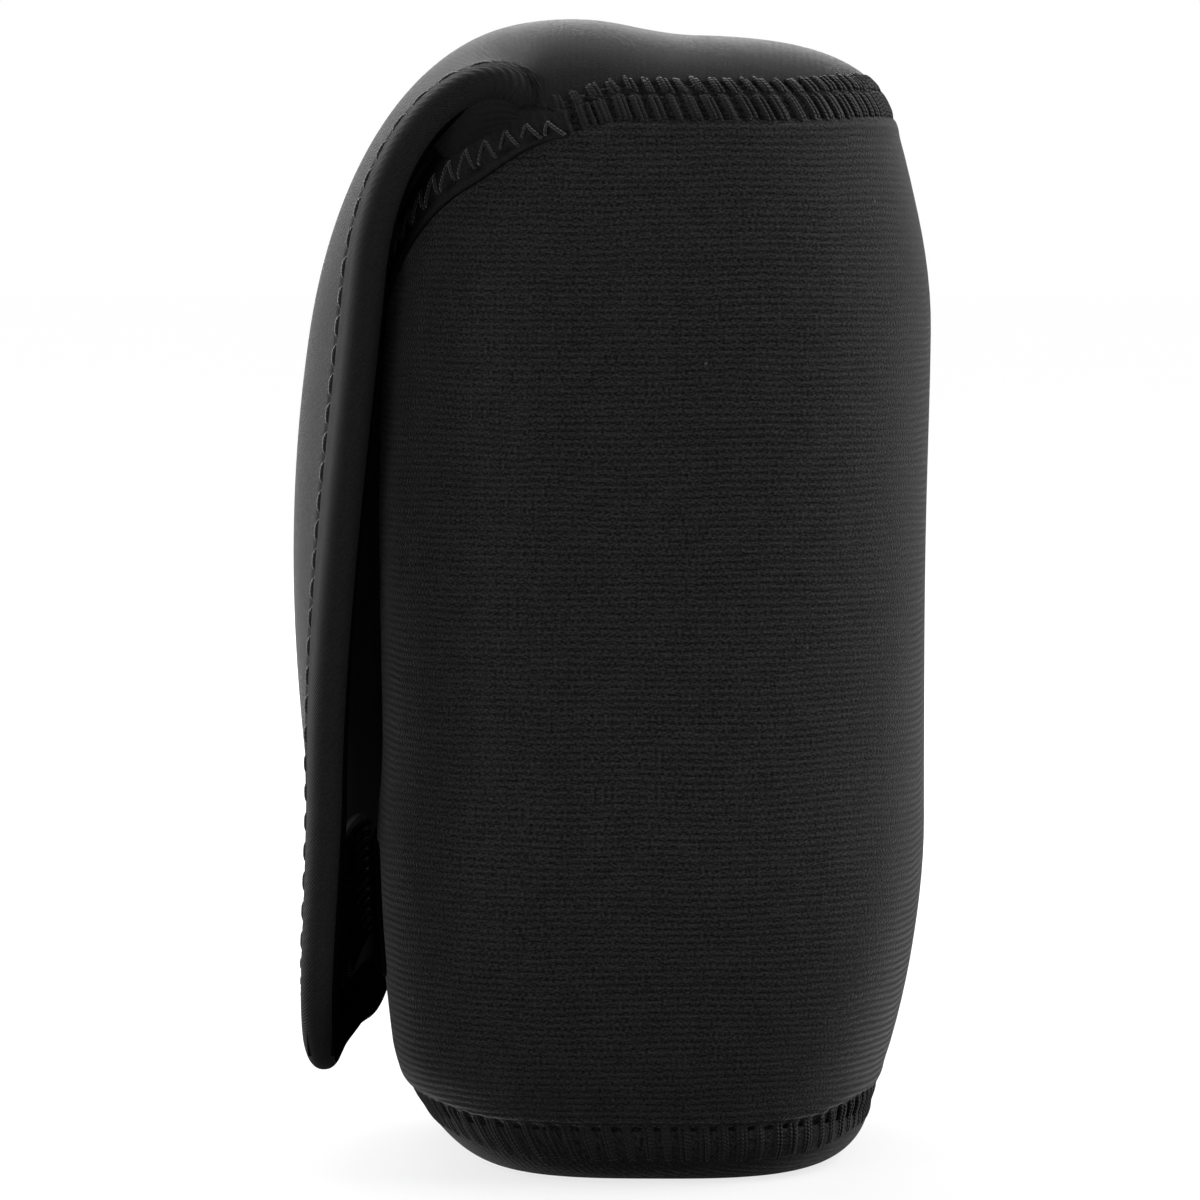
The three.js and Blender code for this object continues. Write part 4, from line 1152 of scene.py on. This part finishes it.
def build_mouth_thread():
    """V stitches that fan out and shorten towards the two corners."""
    count = round(FRONT_LENGTH / MOUTH_STITCH_PITCH)
    pitch = FRONT_LENGTH / count
    start = BACK_LENGTH + np.arange(count + 1) * pitch
    inside = np.maximum(np.minimum(start - BACK_LENGTH, RING_LENGTH - start), 0)
    towards = np.where(start > BACK_LENGTH + FRONT_LENGTH / 2, 1, -1)
    corner = 9  # length beside each corner over which the stitches change
    fan = towards * 0.7 * np.exp(-inside / corner)
    narrow = 0.5 + 0.5 * smooth_step(inside / corner)
    share = np.linspace(0, 1, 9)
    depth = narrow[:, None] * (1.5 + MOUTH_STITCH_SPAN * share)
    rise = TAPE_FACE + 0.14 - 0.45 * from_middle(share) ** 4
    lift = np.broadcast_to(rise, depth.shape).ravel()[:, None]
    lines, normals = [], []
    for lean in (-1, 1):
        at = start[:, None] + lean * 0.46 * pitch * share + fan[:, None] * depth
        flat_at = at.ravel()
        points = mouth_place(flat_at)(-depth.ravel()[:, None], lift)[:, 0]
        lines.append(points.reshape(*at.shape, 3))
        inset = inset_at(mouth_height(flat_at))
        normals.append(plan_normal(angle_at(flat_at), inset).reshape(*at.shape, 3))
    lines, normals = np.concatenate(lines), np.concatenate(normals)
    sew("mouth_thread", "mouth_stitch", "sleeve", lines, normals, THREAD_RADIUS * 0.8, THREAD_TOP_HIGHLIGHT)


def build_corner_webs(run, place):
    """The tape turns from the mouth to the flap: a small gathered web closes the corner between them."""
    s, t = np.meshgrid(np.linspace(0, 1, 40), np.linspace(0, 1, 41))
    arch = np.sin(math.pi * t)
    distance = WEB_REACH * s * (1 - 0.25 * arch)
    inner_edge = at_stations(place, len(run), 0.9, -0.75 * NEOPRENE)
    taper = 0.93 * smooth_step((s - 0.55) / 0.45)  # its outer end runs out on the flap's tape
    swell = 0.9 * arch * s * (1 - taper)
    folds = 0.14 * np.sin(FULL_TURN * (6 * t + 0.6 * s)) * arch * bell(s - 0.35, 0.3)
    uv = np.stack([WEB_REACH * s, WEB_WIDTH * t], -1)
    for side, label in ((1, "right"), (-1, "left")):
        lengths = RING_LENGTH - distance if side == 1 else BACK_LENGTH + distance
        low = at_stations(mouth_place(lengths.ravel()), lengths.size, -1.4, 0.8 * TAPE_FACE)
        low = low.reshape(*s.shape, 3)
        at = distance * 1.1 if side == 1 else run[-1] - distance * 1.1
        high = np.stack([np.interp(at, run, inner_edge[:, i]) for i in range(3)], -1)
        sheet = low + (high - low) * (t + (1 - t) * taper)[..., None]
        sheet[..., 0] += side * (swell + folds + 0.1)
        under = sheet - np.array([side * TAPE_WALL, 0, 0])
        order = (slice(None), slice(None, None, -side))
        obj = shell_object(f"corner_web_{label}", sheet[order], under[order], False, (uv[order], uv[order]))
        dress(obj, "binding_tape", TAPE, TAPE)
        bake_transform(obj)


# Seam threads
def back_surface(along, height):
    """Surface beside the upright seam, by height on the back and distance across the seam."""
    depth = wall_depth(height, along, HALF_DEPTH)
    points = np.stack([height, depth + wall_waves(QUARTER_TURN, along), along], -1)
    return points, np.broadcast_to(np.array([0.0, 1.0, 0.0]), points.shape)


def build_seams():
    at = np.arange(crown_rungs + 1) * CROWN_PITCH
    surface = around_surface(crown_seam_height)
    long = seam_strands(at, -2.6, 0.5, CROWN_SLANT, surface, lift=-0.14, spread=0.38, wobble=0.14)
    short = seam_strands(at + 0.1, 0.7, 2.5, CROWN_SLANT + 0.2, surface, lift=-0.04, spread=0.34, wobble=0.14)
    lines, normals = (np.concatenate(pair) for pair in zip(long, short))
    sew("crown_thread", "crown_seam_stitch", "sleeve", lines, normals, SEAM_THREAD_RADIUS, THREAD)
    at = np.arange(base_rungs) * BASE_PITCH
    surface = around_surface(base_seam_height)
    strands = seam_strands(at, -2.0, 2.4, BASE_SLANT, surface, lift=-0.08, spread=0.42, wobble=0.12)
    sew("base_thread", "base_seam_stitch", "sleeve", *strands, SEAM_THREAD_RADIUS, THREAD_BASE_SHADED)
    at = np.arange(BACK_SEAM_LOW, BACK_SEAM_HIGH, CROWN_STITCH_PITCH)
    half = BACK_STITCH_SPAN / 2
    strands = seam_strands(at, -half, half, CROWN_SLANT, back_surface, lift=-0.25, spread=0.4, wobble=0.05)
    sew("back_thread", "back_seam_stitch", "sleeve", *strands, THREAD_RADIUS, THREAD)


# Hook and loop
PLATE_SINK = 0.1  # the plates are set this far into the cloth
PILE_DEPTH = 0.9  # how much of a patch's thickness is pile or hooks
LOOP_FACE = CLEARANCE + LOOP_THICKNESS - PILE_DEPTH
HOOK_FACE = -NEOPRENE - HOOK_THICKNESS + PILE_DEPTH
LOOP_STRAND = {"height": 0.75, "span": 0.8, "radius": 0.06, "turn": math.pi}
HOOK_STRAND = {"height": 0.8, "span": 0.75, "radius": 0.1, "turn": 0.82 * math.pi}
BOX_STITCH_RISE = 0.16


def patch_outline(z):
    """Half width of a patch at a height, with rounded corners."""
    reach = np.maximum(0, PATCH_CORNER_RADIUS - np.minimum(z - PATCH_LOW, PATCH_TOP - z))
    corner = np.sqrt(np.maximum(0, PATCH_CORNER_RADIUS**2 - reach**2))
    return PATCH_WIDTH / 2 - PATCH_CORNER_RADIUS + corner


def patch_plate(name, place, near, far):
    ends = PATCH_CORNER_RADIUS * (1 - np.cos(np.linspace(0, QUARTER_TURN, 8)))
    straight = np.linspace(PATCH_LOW + PATCH_CORNER_RADIUS, PATCH_TOP - PATCH_CORNER_RADIUS, 12)[1:-1]
    rows = np.concatenate([PATCH_LOW + ends, straight, PATCH_TOP - ends[::-1]])
    x, z = np.meshgrid(np.linspace(-1, 1, 41), rows)
    x = x * patch_outline(z)
    uv = np.stack([x, z], -1)
    return shell_object(name, place(x, z, far), place(x, z, near), False, (uv, uv))


def front_point(x, z, lift):
    return np.stack([x, -wall_depth(x, z, front_reach(z)) - lift, z + 0 * x], -1)


def tab_point(x, z, lift):
    v = 1 + (TAB_FOLD_HEIGHT - z) / TAB_LENGTH
    u = across_to_u(x / lid_half_width(v))
    return lid_point(u, v) + lid_normal(u, v) * np.broadcast_to(lift, u.shape)[..., None]


def patch_spots(step, margin):
    x = np.arange(-PATCH_WIDTH / 2 + margin, PATCH_WIDTH / 2 - margin + 0.01, step)
    z = np.arange(PATCH_LOW + margin, PATCH_TOP - margin + 0.01, step)
    grid_x, grid_z = np.meshgrid(x, z)
    return grid_x.ravel(), grid_z.ravel()


def small_arches(name, place, x, z, lean, height, span, radius, turn):
    """Small bent strands that stand on a face: hooks or loops."""
    bend = np.linspace(0, turn, 7)
    sideways = span * (1 - np.cos(bend)) / 2
    up = height * np.sin(np.minimum(bend, math.pi)) ** 0.7
    at_x = x[:, None] + np.cos(lean)[:, None] * (sideways - span / 2)
    at_z = z[:, None] + np.sin(lean)[:, None] * (sideways - span / 2)
    lines = place(at_x, at_z, np.broadcast_to(up, at_x.shape))
    normals = np.stack([np.sin(lean), 0 * lean, -np.cos(lean)], -1)
    return tube_object(name, lines, np.broadcast_to(normals[:, None], lines.shape), radius, 5)


def patch_dashes(place):
    """Box stitch round a patch."""
    x = PATCH_WIDTH / 2 - PATCH_STITCH_MARGIN
    low, high = PATCH_LOW + PATCH_STITCH_MARGIN, PATCH_TOP - PATCH_STITCH_MARGIN
    share = np.linspace(0, 1, 7)
    lines = []
    corners = [(-x, low), (x, low), (x, high), (-x, high), (-x, low)]
    for (x0, z0), (x1, z1) in zip(corners, corners[1:]):
        count = max(1, round(math.hypot(x1 - x0, z1 - z0) / TOPSTITCH_PITCH))
        at = (np.arange(count)[:, None] + (1 - TOPSTITCH_SHARE) / 2 + TOPSTITCH_SHARE * share) / count
        lines.append(np.stack([x0 + (x1 - x0) * at, z0 + (z1 - z0) * at], -1))
    lines = np.concatenate(lines)
    dip = -0.4 * from_middle(share) ** 4
    return place(lines[..., 0], lines[..., 1], np.broadcast_to(dip, lines.shape[:2]))


def build_loop_patch():
    plate = patch_plate("loop_plate", front_point, -PLATE_SINK, LOOP_FACE)
    dress(plate, "loop_tape", LOOP, LOOP)
    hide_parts("loop_patch")
    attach(plate, "sleeve")
    x, z = patch_spots(0.62, 0.7)
    x = x + rng.normal(0, 0.14, x.shape)
    z = z + rng.normal(0, 0.14, z.shape)
    lean = rng.uniform(0, FULL_TURN, x.shape)

    def place(x, z, height):
        return front_point(x, z, LOOP_FACE + height - 0.1)

    pile = dress(small_arches("loop_pile", place, x, z, lean, **LOOP_STRAND), "loop_tape", LOOP)
    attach(pile, "sleeve")


def build_hook_patch():
    plate = patch_plate("hook_plate", tab_point, -NEOPRENE + PLATE_SINK, HOOK_FACE)
    dress(plate, "hook_tape", HOOK, HOOK)
    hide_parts("hook_patch")
    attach(plate, "flap_tab")
    x, z = patch_spots(1.25, 1.0)
    lean = np.where(np.arange(len(x)) % 2 == 0, QUARTER_TURN, -QUARTER_TURN)

    def place(x, z, height):
        return tab_point(x, z, HOOK_FACE - height + 0.05)

    hooks = dress(small_arches("hook_rows", place, x, z, lean, **HOOK_STRAND), "hook_tape", HOOK)
    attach(hooks, "flap_tab")


def build_patch_threads():
    lines = patch_dashes(lambda x, z, dip: tab_point(x, z, BOX_STITCH_RISE + dip))
    ups = np.broadcast_to(np.array([0.0, -1.0, 0.0]), lines.shape)
    sew("hook_thread", "hook_patch_stitch", "flap_tab", lines, ups, THREAD_RADIUS, THREAD)
    lines = patch_dashes(lambda x, z, dip: front_point(x, z, -NEOPRENE - BOX_STITCH_RISE - dip))
    sew("loop_thread", "loop_patch_stitch", "sleeve", lines, -ups, THREAD_RADIUS, THREAD)


# Stage
FLOOR_REACH = 6000
FLOOR_GLOW = {"From Min": 0.1, "From Max": 0.45, "To Min": 0.75, "To Max": 0.95}  # by distance in metres
AMBIENT = 0.22
LIGHT_AIM = (0, 0, 0.065)
LAMPS = (  # name, place in metres, size, power
    ("left_box", (-0.5, -0.85, 0.35), 1.0, 27.0),
    ("right_box", (-0.08, 0.85, 0.55), 1.0, 18.0),
    ("top_box", (-0.85, -0.1, 0.65), 0.7, 12.0),
    ("fill_box", (0.8, -0.42, 0.25), 0.7, 4.4),
)


def camera_ray(tree):
    return tree.nodes.new("ShaderNodeLightPath").outputs["Is Camera Ray"]


def aim_at(obj, place, aim):
    obj.location = place
    obj.rotation_euler = (Vector(aim) - obj.location).to_track_quat("-Z", "Y").to_euler()


def build_stage():
    r = FLOOR_REACH
    floor = make_mesh("floor", [(-r, -r, 0), (r, -r, 0), (r, r, 0), (-r, r, 0)], [(0, 1, 2, 3)])
    material, tree, shader = new_material("white_floor")
    set_inputs(shader, {"Base Color": (0.2, 0.2, 0.2, 1), "Roughness": 0.9, "Specular IOR Level": 0.0})
    set_inputs(shader, {"Emission Color": WHITE})
    place = tree.nodes.new("ShaderNodeTexCoord")
    apart = tree.nodes.new("ShaderNodeVectorMath")
    apart.operation = "LENGTH"
    tree.links.new(place.outputs["Object"], apart.inputs[0])
    spread = tree.nodes.new("ShaderNodeMapRange")
    spread.interpolation_type = "SMOOTHSTEP"
    tree.links.new(apart.outputs["Value"], spread.inputs["Value"])
    set_inputs(spread, FLOOR_GLOW)
    glow = calc(tree, "MULTIPLY", camera_ray(tree), spread.outputs["Result"])
    tree.links.new(glow, shader.inputs["Emission Strength"])
    floor.data.materials.append(material)


def build_lights():
    world = bpy.data.worlds.new("studio")
    bpy.context.scene.world = world
    world.use_nodes = True
    tree = world.node_tree
    background = tree.nodes["Background"]
    background.inputs["Color"].default_value = WHITE
    strength = weigh(tree, camera_ray(tree), 1 - AMBIENT, AMBIENT)
    tree.links.new(strength, background.inputs["Strength"])
    for name, place, size, power in LAMPS:
        lamp = bpy.data.lights.new(name, "AREA")
        lamp.size = size
        lamp.energy = power
        aim_at(add_object(name, lamp), place, LIGHT_AIM)


def build_camera():
    camera = bpy.data.cameras.new("photo_camera")
    camera.sensor_width = 36
    camera.lens = FOCAL_PIXELS / IMAGE_SIZE * camera.sensor_width
    camera.clip_start = 0.01
    camera.clip_end = 50
    obj = add_object("photo_camera", camera)
    aim_at(obj, Vector(CAMERA_PLACE) * MM, Vector(CAMERA_AIM) * MM)
    bpy.context.scene.camera = obj


build_camera()
build_stage()
build_lights()
build_base()
build_tube()
build_lid()
flap_path = build_flap_tapes()
build_mouth_tape()
build_mouth_thread()
build_corner_webs(*flap_path)
build_seams()
build_loop_patch()
build_hook_patch()
build_patch_threads()

bpy.context.scene.view_settings.view_transform = "Standard"
